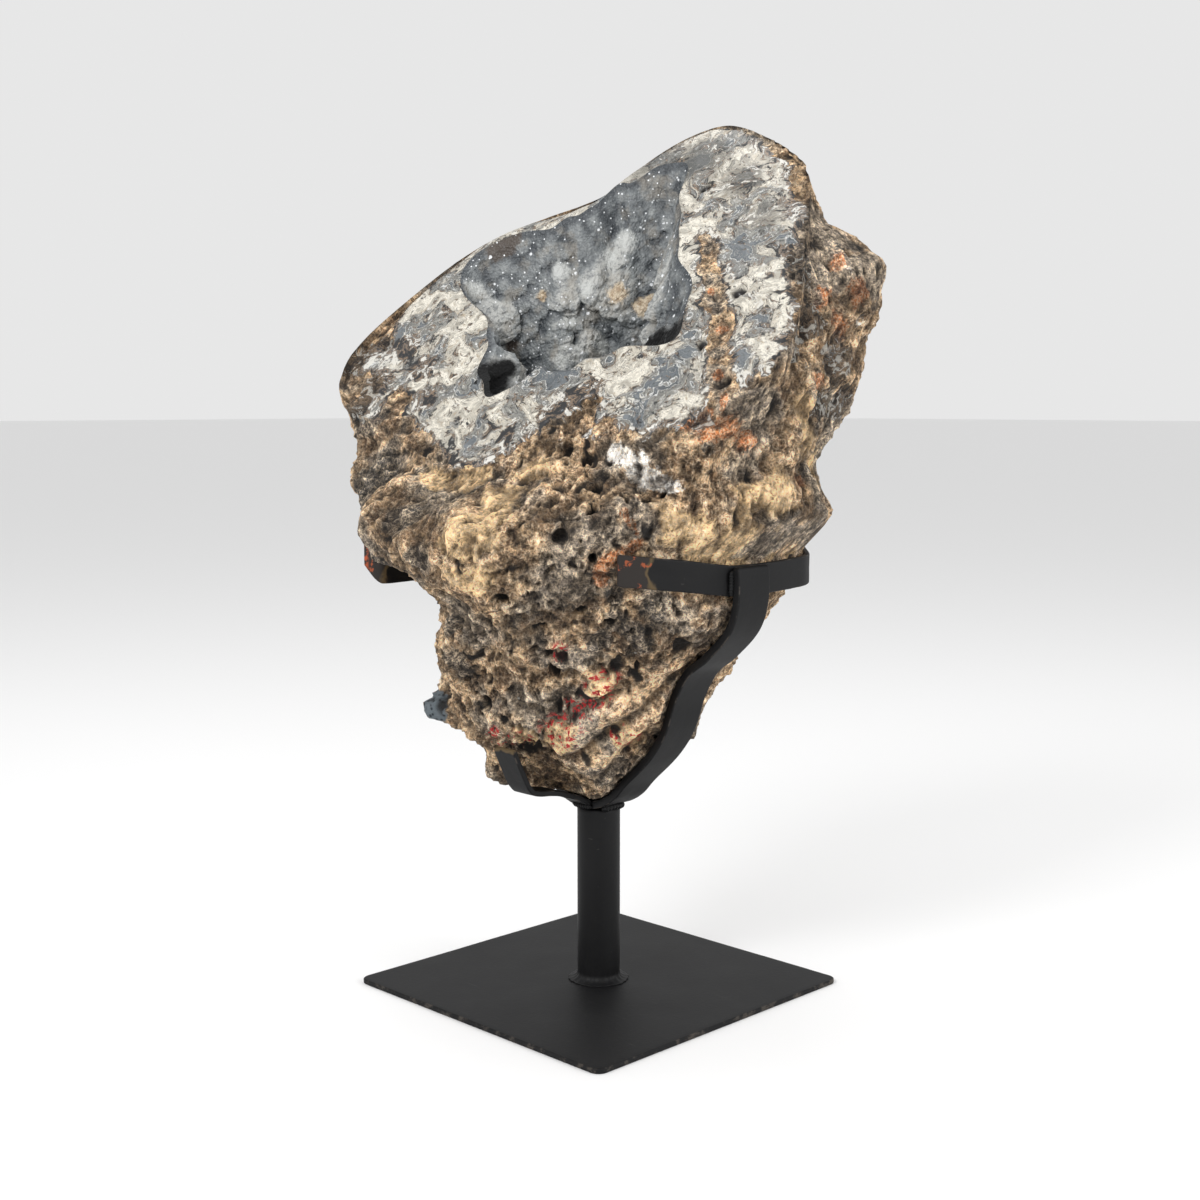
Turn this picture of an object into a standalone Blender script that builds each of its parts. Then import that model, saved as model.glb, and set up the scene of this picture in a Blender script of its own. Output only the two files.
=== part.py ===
"""A druse-lined agate geode held in a welded steel stand.

The stone is one solid: rough matrix outside, a slanting polished face, and a hollow behind it.
The crystal crust lines the hollow. The stand is a square plate, a round post and bent flat bars.
Sizes are in millimetres and are turned into metres when a mesh is made.
"""

import bmesh
import bpy
import numpy as np
from mathutils import Vector

MM = 0.001

# Stand stock: 8 inch plate, 1 inch post, 1 inch cradle bar, narrower straps
PLATE_SIDE = 203.2
PLATE_THICK = 3.2
PLATE_CORNER = 6.0
PLATE_EDGE = 0.6
POST_RADIUS = 12.7
POST_TOP = 108.6
POST_GAP = 0.3
POST_EDGE = 1.0
POST_SIDES = 32
ARC_POINTS = 5
WELD_RISE = 4.5
WELD_REACH = 5.5
BAR_WIDTH = 25.4
BAR_THICK = 4.8
STRAP_WIDTH = 17.0
REAR_STRAP_WIDTH = 14.5
STRAP_THICK = 3.2
STATIONS = {"cradle_bar": 44, "front_strap": 26, "rear_strap": 40, "toe_strap": 16}

# The cradle bar lies in the XZ plane: distance along X and height of the middle of its thickness
CRADLE_PATH = [
    (-113.4, 256), (-113.4, 246), (-112.8, 236), (-108, 226), (-96, 208), (-86, 184), (-78, 162),
    (-64, 143), (-36, 126), (-23, 118.5), (-12, 113.4), (0, 111.5), (12, 113.4), (23, 119.5), (33, 129.5),
    (51.5, 146.5), (63.5, 163.5), (70.5, 182), (80.5, 198), (94, 208), (110, 224), (115.5, 240),
    (115.5, 259),
]
# Crossbar welded inside the front arm, its far end bent back round the stone
FRONT_STRAP = [
    (91, -77, 260), (103.5, -44, 256), (110.1, -12, 251.5), (110.6, 0, 251), (110.6, 16, 251),
    (107.5, 44, 251.5), (104.5, 60, 252), (96, 72, 253), (59, 110, 255),
]
# Crossbar welded inside the rear arm, its near end bent out and up as a finger
REAR_STRAP = [
    (-78, 66, 247), (-96, 44, 246.5), (-106, 20, 246), (-107.4, 6, 246), (-107.4, -12, 246),
    (-109.5, -44, 245.5), (-111, -68, 245), (-113.5, -73.5, 246.5), (-125, -74.5, 256),
]
# Toe strap in the YZ plane, turned up under the stone's near edge
TOE_PATH = [(-14.3, 113.5), (-22, 117.5), (-40, 123.5), (-56, 126), (-61.5, 129), (-66, 136), (-74.5, 153.5)]

# Stone, in its own axes: x across the display side, y away from it, z up. It is turned on the stand.
STONE_TURN = np.radians(45)
STONE_FOOT = 115.2
STONE_MIDDLE = (0, 0, 330)
FOOT_SHIFT = 3.0
SQUARENESS = 2.2
RIGHT_REACH = [
    (115, 13), (121, 21), (131, 33), (145, 48), (157, 58), (169, 65), (181, 72), (193, 79),
    (217, 94), (231, 102), (250, 112), (262, 118), (270, 131), (282, 131), (296, 128), (310, 124),
    (322, 129), (345, 141), (367, 149), (379, 151), (396, 159), (418, 159), (432, 153), (445, 128),
    (470, 122), (500, 110), (530, 95),
]
LEFT_REACH = [
    (115, 10), (121, 42), (127, 56), (145, 70), (155, 86), (169, 92), (184, 91), (203, 94),
    (222, 91), (231, 95), (246, 107), (259, 122), (270, 131), (282, 137), (298, 147), (316, 145),
    (324, 141), (335, 147), (348, 151), (373, 149), (400, 145), (450, 125), (530, 95),
]
FRONT_REACH = [
    (115, 9), (121, 22), (131, 35), (145, 49), (163, 58), (182, 65), (198, 74), (208, 84),
    (224, 97), (240, 106), (262, 113), (290, 118), (320, 118), (345, 112), (400, 96), (530, 80),
]
BACK_REACH = [
    (115, 8), (121, 18), (131, 34), (145, 48), (163, 62), (182, 70), (206, 80), (226, 90),
    (245, 98), (280, 106), (330, 112), (390, 108), (440, 98), (530, 76),
]

# Polished face: a plane through FACE_POINT, with the outline of its edge and of the hollow's mouth.
# The mouth wanders by sine waves: height, how many round the mouth, and where they start.
FACE_POINT = np.array([2.0, 0.0, 412.0])
FACE_NORMAL = np.array([-0.42, -0.64, 0.645])
FACE_CROWN = 5.0
RIM_OUTLINE = [
    (7, 110), (20, 101), (36, 95), (60, 76), (75, 66), (89, 62), (103, 69), (117, 84), (129, 108),
    (140, 130), (148, 148), (156, 174), (161, 171), (166, 158), (173, 132), (180, 117), (191, 105),
    (214, 88), (230, 75), (247, 68), (262, 72), (278, 90), (288, 108), (298, 126), (304, 138),
    (317, 139), (334, 124), (346, 121), (358, 119),
]
OUTLINE_STEP = 2.0
SHOULDER = 44.0
MOUTH_CENTRE = (-14.0, 12.0)
MOUTH_OUTLINE = [
    (4.8, 59), (22, 73), (34, 68), (50, 56), (75, 45), (100, 45), (115, 58), (127, 78), (138, 93),
    (146, 92), (151, 72), (156, 58), (165, 52), (183, 52), (198, 56), (207, 59), (214, 61), (220, 56),
    (227, 47), (236, 42), (250, 43), (262, 46), (280, 52), (292, 56), (300, 64), (304, 82), (308, 97),
    (312, 92), (316, 84), (327, 77), (335, 66), (348, 61),
]
MOUTH_WANDER = ((1.6, 11, 2.0), (1.0, 19, 0.4))
HOLLOW_FOOT = np.array([-4.0, 14.0, 326.0])
HOLLOW_HEART = np.array([-6.0, 14.0, 384.0])
BOWL_POWERS = (0.8, 0.9)

# Crystal crust: thickness at the mouth and below it, knobs (count, sizes, shares down the wall), grain
CRUST_EDGE = 2.6
CRUST_THICK = 6.5
CRUST_BACK_GAP = 0.7
CRUST_BUMPS = 44
BUMP_SEED = 7
BUMP_SIZES = (11.0, 19.0)
BUMP_SHARES = (0.08, 0.8)
BUMP_HEIGHT = 0.55
GRAIN_SIZE = 7.0
GRAIN_HEIGHT = 0.9

# Forms that give the stone its character: place (x, y, z), reach, and rise (or fall, below 0)
LUMPS = [
    (112, -60, 276, 34, 9), (60, -95, 222, 30, 11), (140, -20, 400, 30, 6), (-128, 10, 345, 26, 6),
    (-120, -40, 290, 34, 7), (-96, -6, 168, 13, 9), (-60, -10, 128, 16, 5), (20, -70, 165, 24, 6),
    (-60, -80, 250, 36, 7), (10, -112, 300, 26, 7), (-90, -40, 205, 26, 6), (90, 70, 300, 44, 10),
    (-60, 90, 300, 46, 9), (20, 80, 200, 36, 8), (60, 90, 400, 34, 7), (-110, 60, 330, 30, 6),
    (118, -38, 242, 22, -9), (66, -70, 190, 22, -10), (24, -62, 148, 18, -8), (-26, -2, 120, 14, -7),
    (-12, -118, 300, 15, -10), (-22, -105, 262, 15, -8), (-112, -20, 322, 16, -6),
    (70, -112, 310, 14, -7), (-140, 0, 318, 14, -5), (0, 100, 260, 26, -9), (110, 40, 340, 26, -8),
]
ROUGH_WAVES = ((34.0, 6.0), (15.0, 3.6))

# Stone pressed clear of the bars: gap, margin beside a bar, how fast it eases off, and the furthest reach
BAR_GAP = 1.4
PRESS_MARGIN = 11.0
PRESS_SLOPE = 0.9
PRESS_LIMIT = 45.0

# Mesh density of the stone and of the crust: rows, how they crowd, and where the crust's front starts
COLUMNS = 60
WALL_ROWS = 28
FACE_ROWS = 3
LINING_ROWS = 7
LINING_POWER = 1.5
CRUST_ROWS = 26
CRUST_START = 0.02
ROW_BEND = 0.35

# Steepness of the fades: roughness towards the rim, crust's thickness from the mouth
RIM_FADE = 9
MOUTH_FADE = 6

STEEL = (0.012, 0.012, 0.013)
MATRIX_BROWN = (0.23, 0.17, 0.11)
DRUSE_GREY = (0.24, 0.27, 0.30)


def hash_unit(ix, iy, iz, seed):
    """A repeatable number from 0 to 1 for each whole-number point: products of indices, with bits mixed."""
    h = (ix * 374761393 + iy * 668265263 + iz * 1274126177 + seed * 974634777) & 0xFFFFFFFF
    h = ((h ^ (h >> 13)) * 1103515245) & 0xFFFFFFFF
    return ((h ^ (h >> 16)) & 0xFFFFFF) / float(0xFFFFFF)


def wave_noise(points, size, seed):
    """Smooth noise from -1 to 1: values at the corners of cubes of this size, blended by s*s*(3-2s)."""
    cell = points / size
    low = np.floor(cell).astype(np.int64)
    s = cell - low
    s = s * s * (3 - 2 * s)
    total = np.zeros(len(points))
    for corner in range(8):
        step = np.array([corner & 1, (corner >> 1) & 1, corner >> 2])
        weight = np.prod(np.where(step == 1, s, 1 - s), axis=1)
        total += weight * hash_unit(*(low + step).T, seed)
    return 2 * total - 1


def round_trip(table, angles):
    """A closed outline's radius at each angle: straight lines between the table's points, then smoothed."""
    degrees = np.array([a for a, _ in table], float) % 360
    order = np.argsort(degrees)
    radii = np.array([r for _, r in table], float)[order]
    fine = np.arange(0, 360, OUTLINE_STEP)
    line = np.interp(fine, degrees[order], radii, period=360)
    kernel = np.exp(-(np.arange(-6, 7) ** 2) / 7.0)
    smooth = np.convolve(np.tile(line, 3), kernel / kernel.sum(), "same")[len(fine) : 2 * len(fine)]
    return np.interp(np.degrees(angles) % 360, fine, smooth, period=360)


def reach_at(table, heights):
    """One side's reach from the axis at each height."""
    return np.interp(heights, [z for z, _ in table], [r for _, r in table])


def wall_radius(angles, heights):
    """Level sections are super-ellipses whose half-widths are the four reaches at that height."""
    c, s = np.cos(angles), np.sin(angles)
    across = np.where(c > 0, reach_at(RIGHT_REACH, heights), reach_at(LEFT_REACH, heights))
    deep = np.where(s > 0, reach_at(BACK_REACH, heights), reach_at(FRONT_REACH, heights))
    power = SQUARENESS
    return (np.abs(c / across) ** power + np.abs(s / deep) ** power) ** (-1 / power)


def face_height(x, y):
    """Height of the polished plane above a point of the plan."""
    n = FACE_NORMAL
    return FACE_POINT[2] - (n[0] * (x - FACE_POINT[0]) + n[1] * (y - FACE_POINT[1])) / n[2]


def rim_points(angles):
    """The polished face's outer edge, lowered by the crown."""
    r = round_trip(RIM_OUTLINE, angles)
    x, y = r * np.cos(angles), r * np.sin(angles)
    return np.stack([x, y, face_height(x, y) - FACE_CROWN], axis=-1)


def mouth_points(angles):
    """The hollow's mouth, on the polished plane: its outline and two sine waves round it."""
    r = round_trip(MOUTH_OUTLINE, angles)
    for height, waves, start in MOUTH_WANDER:
        r = r + height * np.sin(waves * angles + start)
    x, y = MOUTH_CENTRE[0] + r * np.cos(angles), MOUTH_CENTRE[1] + r * np.sin(angles)
    return np.stack([x, y, face_height(x, y)], axis=-1)


def outer_wall(angles, share):
    """The rough wall: share 0 at the foot, 1 at the rim. Near the rim its radius blends into the rim's."""
    rim = rim_points(angles)
    z = STONE_FOOT + (rim[..., 2] - STONE_FOOT) * share
    rim_radius = np.hypot(rim[..., 0], rim[..., 1])
    near = np.clip(1 - (rim[..., 2] - z) / SHOULDER, 0, 1)
    near = near * near * (3 - 2 * near)
    r = wall_radius(angles, z) * (1 - near) + rim_radius * near
    return np.stack([r * np.cos(angles), r * np.sin(angles), z], axis=-1)


def polished_face(angles, share):
    """Straight from the rim (0) to the mouth (1), raised by a quarter sine so that the rim rounds over."""
    rim, mouth = rim_points(angles), mouth_points(angles)
    rise = FACE_CROWN * (np.sin(share * np.pi / 2) - share)
    point = rim + (mouth - rim) * share[..., None]
    point[..., 2] += rise
    return point


def hollow_wall(angles, share):
    """A bowl from the mouth (0) to its foot (1): steep, then turning in, by powers of cosine and sine."""
    mouth = mouth_points(angles)
    turn = share * np.pi / 2
    inward = 1 - np.cos(turn) ** BOWL_POWERS[0]
    down = np.sin(turn) ** BOWL_POWERS[1]
    point = np.empty(mouth.shape)
    point[..., :2] = mouth[..., :2] + (HOLLOW_FOOT[:2] - mouth[..., :2]) * inward[..., None]
    point[..., 2] = mouth[..., 2] + (HOLLOW_FOOT[2] - mouth[..., 2]) * down
    return point


def lining_shares():
    """Shares of the rows that the hollow's wall and the crust's back share, closer near the mouth."""
    return np.linspace(0, 1, LINING_ROWS + 1) ** LINING_POWER


def towards_heart(points, distance):
    """Points moved by a distance towards the middle of the hollow."""
    offset = points - HOLLOW_HEART
    length = np.linalg.norm(offset, axis=-1, keepdims=True)
    return HOLLOW_HEART + offset * (1 - distance[..., None] / length)


def roughen(points, normals):
    """Moves points along their normals by two sizes of noise and by the named lumps and hollows."""
    lift = np.zeros(len(points))
    for number, (size, height) in enumerate(ROUGH_WAVES):
        lift += height * wave_noise(points, size, number)
    for x, y, z, reach, rise in LUMPS:
        distance = np.linalg.norm(points - np.array([x, y, z]), axis=1) / reach
        lift += rise * np.exp(-2 * distance**2)
    return points + normals * lift[:, None]


def smooth_path(path, count):
    """Evenly spaced points on a Catmull-Rom curve through the path's points."""
    p = np.array(path, float)
    p = np.vstack([2 * p[0] - p[1], p, 2 * p[-1] - p[-2]])
    t = np.linspace(0, 1, 12, endpoint=False)[:, None]
    runs = []
    for a, b, c, d in zip(p[:-3], p[1:-2], p[2:-1], p[3:]):
        curve = 2 * b + (c - a) * t + (2 * a - 5 * b + 4 * c - d) * t**2 + (3 * b - a - 3 * c + d) * t**3
        runs.append(curve / 2)
    fine = np.vstack(runs + [p[-2:-1]])
    along = np.r_[0, np.cumsum(np.linalg.norm(np.diff(fine, axis=0), axis=1))]
    even = np.linspace(0, along[-1], count)
    return np.stack([np.interp(even, along, fine[:, k]) for k in range(3)], axis=1)


def strap_frame(path, count, across, inside):
    """Stations of a flat bar of one width direction: points, tangents, widths and outward normals."""
    points = smooth_path(path, count)
    tangents = np.gradient(points, axis=0)
    tangents /= np.linalg.norm(tangents, axis=1)[:, None]
    widths = np.tile(np.array(across, float), (count, 1))
    normals = np.cross(tangents, widths)
    normals /= np.linalg.norm(normals, axis=1)[:, None]
    if np.sum(normals * (points - np.array(inside, float))) < 0:
        normals = -normals
    return points, tangents, widths, normals


def strap_frames():
    """The four bent bars: name, stations, width and thickness, in the stand's axes."""
    cradle = [(x, 0, z) for x, z in CRADLE_PATH]
    toe = [(0, y, z) for y, z in TOE_PATH]
    return [
        (name, strap_frame(path, STATIONS[name], across, STONE_MIDDLE), width, thick)
        for name, path, across, width, thick in [
            ("cradle_bar", cradle, (0, 1, 0), BAR_WIDTH, BAR_THICK),
            ("front_strap", FRONT_STRAP, (0, 0, 1), STRAP_WIDTH, STRAP_THICK),
            ("rear_strap", REAR_STRAP, (0, 0, 1), REAR_STRAP_WIDTH, STRAP_THICK),
            ("toe_strap", toe, (1, 0, 0), STRAP_WIDTH, STRAP_THICK),
        ]
    ]


def press_into(points, stations, width, thick):
    """Moves stone points inwards where a bar passes, until they clear its face, easing off beside it."""
    centres, tangents, widths, normals = stations
    moved = points.copy()
    offset = points[:, None, :] - centres[None]
    nearest = np.argmin(np.linalg.norm(offset, axis=2), axis=1)
    here = offset[np.arange(len(points)), nearest]
    across = np.abs(np.sum(here * widths[nearest], axis=1))
    along = np.abs(np.sum(here * tangents[nearest], axis=1))
    height = np.sum(here * normals[nearest], axis=1)
    spare = np.maximum(across - width / 2 - PRESS_MARGIN, 0) + np.maximum(along - PRESS_MARGIN, 0)
    push = height + thick / 2 + BAR_GAP - PRESS_SLOPE * spare
    push = np.where(height < PRESS_LIMIT, np.maximum(push, 0), 0)
    moved -= normals[nearest] * push[:, None]
    return moved


def turned(points, angle):
    """Points turned about the vertical axis."""
    c, s = np.cos(angle), np.sin(angle)
    return points @ np.array([[c, s, 0], [-s, c, 0], [0, 0, 1]])


def grid_triangles(rows, columns, first=0):
    """Two triangles for each cell of a grid that closes round its columns."""
    faces = []
    for r in range(rows - 1):
        for c in range(columns):
            a, b = first + r * columns + c, first + r * columns + (c + 1) % columns
            faces += [(a, b, b + columns), (a, b + columns, a + columns)]
    return faces


def fan(ring_start, columns, centre, flip):
    """Triangles that close a ring to one point."""
    faces = []
    for c in range(columns):
        a, b = ring_start + c, ring_start + (c + 1) % columns
        faces.append((b, a, centre) if flip else (a, b, centre))
    return faces


def grid_normals(grid, outward_from):
    """Unit normals of a closed-round grid from its neighbours' differences, turned away from a point."""
    across = np.roll(grid, -1, axis=1) - np.roll(grid, 1, axis=1)
    along = np.gradient(grid, axis=0)
    n = np.cross(across, along)
    n /= np.maximum(np.linalg.norm(n, axis=-1, keepdims=True), 1e-9)
    side = np.sum(n * (grid - outward_from), axis=-1, keepdims=True)
    return n * np.where(side < 0, -1, 1)


def material(name, colour, roughness, metallic=0.0):
    """A plain Principled material."""
    made = bpy.data.materials.new(name)
    made.use_nodes = True
    shader = made.node_tree.nodes["Principled BSDF"]
    shader.inputs["Base Color"].default_value = (*colour, 1)
    shader.inputs["Roughness"].default_value = roughness
    shader.inputs["Metallic"].default_value = metallic
    return made


def add_object(name, points, faces, finish):
    """A mesh object from points in millimetres."""
    mesh = bpy.data.meshes.new(name)
    mesh.from_pydata([Vector(p) * MM for p in points], [], faces)
    mesh.materials.append(finish)
    mesh.update()
    made = bpy.data.objects.new(name, mesh)
    bpy.context.scene.collection.objects.link(made)
    return made


def make_stone(finish):
    """One closed skin: foot, rough wall, rounded rim, polished face, and the hollow's wall to its foot."""
    angles = np.linspace(0, 2 * np.pi, COLUMNS, endpoint=False)
    rise = np.linspace(0, 1, WALL_ROWS)
    rise = ROW_BEND * rise**2 + (1 - ROW_BEND) * rise
    a, s = np.meshgrid(angles, rise)
    wall = outer_wall(a, s)
    axis_points = np.zeros(wall.shape)
    axis_points[..., 2] = wall[..., 2]
    normals = grid_normals(wall, axis_points)
    fade = np.clip((1 - s) * RIM_FADE, 0, 1)[..., None]
    rough = roughen(wall.reshape(-1, 3), normals.reshape(-1, 3)).reshape(wall.shape)
    wall = wall + (rough - wall) * fade
    wall = turned(wall.reshape(-1, 3), STONE_TURN)
    for _, stations, width, thick in strap_frames():
        wall = press_into(wall, stations, width, thick)

    a, s = np.meshgrid(angles, np.linspace(0, 1, FACE_ROWS + 1)[1:])
    face = turned(polished_face(a, s).reshape(-1, 3), STONE_TURN)
    a, s = np.meshgrid(angles, lining_shares()[1:-1])
    lining = turned(hollow_wall(a, s).reshape(-1, 3), STONE_TURN)
    ends = turned(np.array([[FOOT_SHIFT, 0.0, STONE_FOOT], HOLLOW_FOOT]), STONE_TURN)

    rows = WALL_ROWS + FACE_ROWS + LINING_ROWS - 1
    points = np.vstack([wall, face, lining, ends])
    last = (rows - 1) * COLUMNS
    faces = grid_triangles(rows, COLUMNS)
    faces += fan(0, COLUMNS, rows * COLUMNS, True) + fan(last, COLUMNS, rows * COLUMNS + 1, False)
    return add_object("stone", points, faces, finish)


def bump_lift(points):
    """Crystal knobs on the crust: domes of seeded places and sizes; the tallest dome at a point counts."""
    rng = np.random.default_rng(BUMP_SEED)
    angles = rng.uniform(0, 2 * np.pi, CRUST_BUMPS)
    shares = rng.uniform(*BUMP_SHARES, CRUST_BUMPS)
    sizes = rng.uniform(*BUMP_SIZES, CRUST_BUMPS)
    lift = np.zeros(len(points))
    for centre, size in zip(hollow_wall(angles, shares), sizes):
        d = np.linalg.norm(points - centre, axis=1) / size
        lift = np.maximum(lift, BUMP_HEIGHT * size * np.sqrt(np.clip(1 - d * d, 0, None)))
    return lift


def make_crust(finish):
    """The crystal crust: a back that follows the hollow's wall and a knobbly front, closed at the mouth."""
    angles = np.linspace(0, 2 * np.pi, COLUMNS, endpoint=False)
    a, s = np.meshgrid(angles, lining_shares()[:-1])
    back = hollow_wall(a, s)
    back = towards_heart(back, np.full(a.shape, CRUST_BACK_GAP))
    a, s = np.meshgrid(angles, np.linspace(CRUST_START, 1, CRUST_ROWS + 1)[:-1])
    base = hollow_wall(a, s)
    inward = np.clip(s * MOUTH_FADE, 0, 1)
    lift = bump_lift(base.reshape(-1, 3)).reshape(a.shape)
    grain = GRAIN_HEIGHT * wave_noise(base.reshape(-1, 3), GRAIN_SIZE, len(ROUGH_WAVES)).reshape(a.shape)
    thick = CRUST_EDGE + (CRUST_THICK - CRUST_EDGE + lift + grain) * inward
    front = towards_heart(base, thick)

    rows = LINING_ROWS + CRUST_ROWS
    grid = np.vstack([back[::-1].reshape(-1, 3), front.reshape(-1, 3)])
    foot_back = HOLLOW_FOOT + np.array([0, 0, CRUST_BACK_GAP])
    foot_front = HOLLOW_FOOT + np.array([0, 0, CRUST_THICK])
    points = turned(np.vstack([grid, foot_back, foot_front]), STONE_TURN)
    last = (rows - 1) * COLUMNS
    faces = grid_triangles(rows, COLUMNS)
    faces += fan(0, COLUMNS, rows * COLUMNS, True) + fan(last, COLUMNS, rows * COLUMNS + 1, False)
    return add_object("druse_crust", points, faces, finish)


def make_strap(name, stations, width, thick, finish):
    """A bent flat bar: a rectangle carried along its stations, closed at both ends."""
    centres, _, widths, normals = stations
    w, n = widths * width / 2, normals * thick / 2
    rings = np.stack([centres - w - n, centres + w - n, centres + w + n, centres - w + n], axis=1)
    count = len(centres)
    faces = []
    for r in range(count - 1):
        for c in range(4):
            a, b = r * 4 + c, r * 4 + (c + 1) % 4
            faces.append((a, a + 4, b + 4, b))
    faces += [(0, 1, 2, 3), tuple((count - 1) * 4 + k for k in (3, 2, 1, 0))]
    made = add_object(name, rings.reshape(-1, 3), faces, finish)
    return face_outwards(made)


def face_outwards(made):
    """Turns every face of a closed mesh outwards."""
    skin = bmesh.new()
    skin.from_mesh(made.data)
    bmesh.ops.recalc_face_normals(skin, faces=skin.faces)
    skin.to_mesh(made.data)
    skin.free()
    return made


def make_plate(finish):
    """The square base plate with rounded corners and a small chamfer on its top and bottom edges."""
    half = PLATE_SIDE / 2
    quarter = np.linspace(0, np.pi / 2, ARC_POINTS)
    ring = []
    for k in range(4):
        middle = np.array([[1, 1], [-1, 1], [-1, -1], [1, -1]][k]) * (half - PLATE_CORNER)
        turn = quarter + k * np.pi / 2
        ring.append(middle + PLATE_CORNER * np.stack([np.cos(turn), np.sin(turn)], axis=1))
    ring = np.vstack(ring)
    inner = ring * (1 - PLATE_EDGE / half)
    levels = [(inner, 0), (ring, PLATE_EDGE), (ring, PLATE_THICK - PLATE_EDGE), (inner, PLATE_THICK)]
    points = np.vstack([np.c_[r, np.full(len(r), float(z))] for r, z in levels])
    count = len(ring)
    faces = grid_triangles(4, count)
    faces += [tuple(range(count - 1, -1, -1)), tuple(range(3 * count, 4 * count))]
    return face_outwards(add_object("base_plate", points, faces, finish))


def make_post(finish):
    """The round post with the fillet of its weld at the foot."""
    foot = PLATE_THICK + POST_GAP
    curve = np.linspace(0, np.pi / 2, ARC_POINTS)
    radii = POST_RADIUS + WELD_REACH * (1 - np.sin(curve))
    heights = foot + WELD_RISE * (1 - np.cos(curve))
    profile = list(zip(radii, heights))
    profile += [(POST_RADIUS, POST_TOP - POST_EDGE), (POST_RADIUS - POST_EDGE, POST_TOP)]
    turn = np.linspace(0, 2 * np.pi, POST_SIDES, endpoint=False)
    rings = [np.c_[r * np.cos(turn), r * np.sin(turn), np.full(POST_SIDES, z)] for r, z in profile]
    points = np.vstack(rings)
    faces = grid_triangles(len(profile), POST_SIDES)
    faces += [tuple(range(POST_SIDES))[::-1], tuple(range(len(points) - POST_SIDES, len(points)))]
    return face_outwards(add_object("post", points, faces, finish))


def main():
    for old in list(bpy.data.objects):
        bpy.data.objects.remove(old)
    steel = material("black_steel", STEEL, 0.5, 0.4)
    make_plate(steel)
    make_post(steel)
    for name, stations, width, thick in strap_frames():
        make_strap(name, stations, width, thick, steel)
    make_stone(material("rough_matrix", MATRIX_BROWN, 0.9))
    make_crust(material("druse", DRUSE_GREY, 0.35))


main()
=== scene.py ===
"""Looks for a druse-lined agate geode in its welded steel stand.

Every piece is a surface worked out with numpy in millimetres and stored in metres.
The stone has its own axes: x across the display side, y away from it, z up.
"""

import bpy
import numpy as np
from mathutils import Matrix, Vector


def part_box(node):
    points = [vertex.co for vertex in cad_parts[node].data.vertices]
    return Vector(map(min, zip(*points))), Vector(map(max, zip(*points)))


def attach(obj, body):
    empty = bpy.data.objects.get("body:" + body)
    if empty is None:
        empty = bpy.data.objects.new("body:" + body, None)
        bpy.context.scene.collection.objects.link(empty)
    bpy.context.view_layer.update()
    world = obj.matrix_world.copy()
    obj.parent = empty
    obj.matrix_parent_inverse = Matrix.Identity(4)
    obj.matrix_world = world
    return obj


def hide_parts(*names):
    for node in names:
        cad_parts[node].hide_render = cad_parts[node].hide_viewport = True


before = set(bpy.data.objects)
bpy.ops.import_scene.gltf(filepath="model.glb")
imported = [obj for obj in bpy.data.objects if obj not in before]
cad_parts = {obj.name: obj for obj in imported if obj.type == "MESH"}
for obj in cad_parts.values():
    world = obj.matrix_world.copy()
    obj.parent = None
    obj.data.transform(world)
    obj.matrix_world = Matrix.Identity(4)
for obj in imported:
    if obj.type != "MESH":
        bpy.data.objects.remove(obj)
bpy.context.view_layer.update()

MM = 0.001
FULL_TURN = 2 * np.pi

# Stand stock, as in the solids
PLATE_SIDE = 203.2
PLATE_THICK = 3.2
PLATE_CORNER = 6.0
POST_RADIUS = 12.7
POST_TOP = 108.6
WELD_RISE = 4.5
WELD_REACH = 5.5
BAR_WIDTH = 25.4
BAR_THICK = 4.8
STRAP_WIDTH = 17.0
REAR_STRAP_WIDTH = 14.5
STRAP_THICK = 3.2
CRADLE_PATH = [
    (-113.4, 256), (-113.4, 246), (-112.8, 236), (-108, 226), (-96, 208), (-86, 184), (-78, 162),
    (-64, 143), (-36, 126), (-23, 118.5), (-12, 113.4), (0, 111.5), (12, 113.4), (23, 119.5),
    (33, 129.5), (51.5, 146.5), (63.5, 163.5), (70.5, 182), (80.5, 198), (94, 208), (110, 224),
    (115.5, 240), (115.5, 259),
]
FRONT_STRAP = [
    (91, -77, 260), (103.5, -44, 256), (110.1, -12, 251.5), (110.6, 0, 251), (110.6, 16, 251),
    (107.5, 44, 251.5), (104.5, 60, 252), (96, 72, 253), (59, 110, 255),
]
REAR_STRAP = [
    (-78, 66, 247), (-96, 44, 246.5), (-106, 20, 246), (-107.4, 6, 246), (-107.4, -12, 246),
    (-109.5, -44, 245.5), (-111, -68, 245), (-113.5, -73.5, 246.5), (-125, -74.5, 256),
]
TOE_PATH = [(-14.3, 113.5), (-22, 117.5), (-40, 123.5), (-56, 126), (-61.5, 129), (-66, 136), (-74.5, 153.5)]

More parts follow.
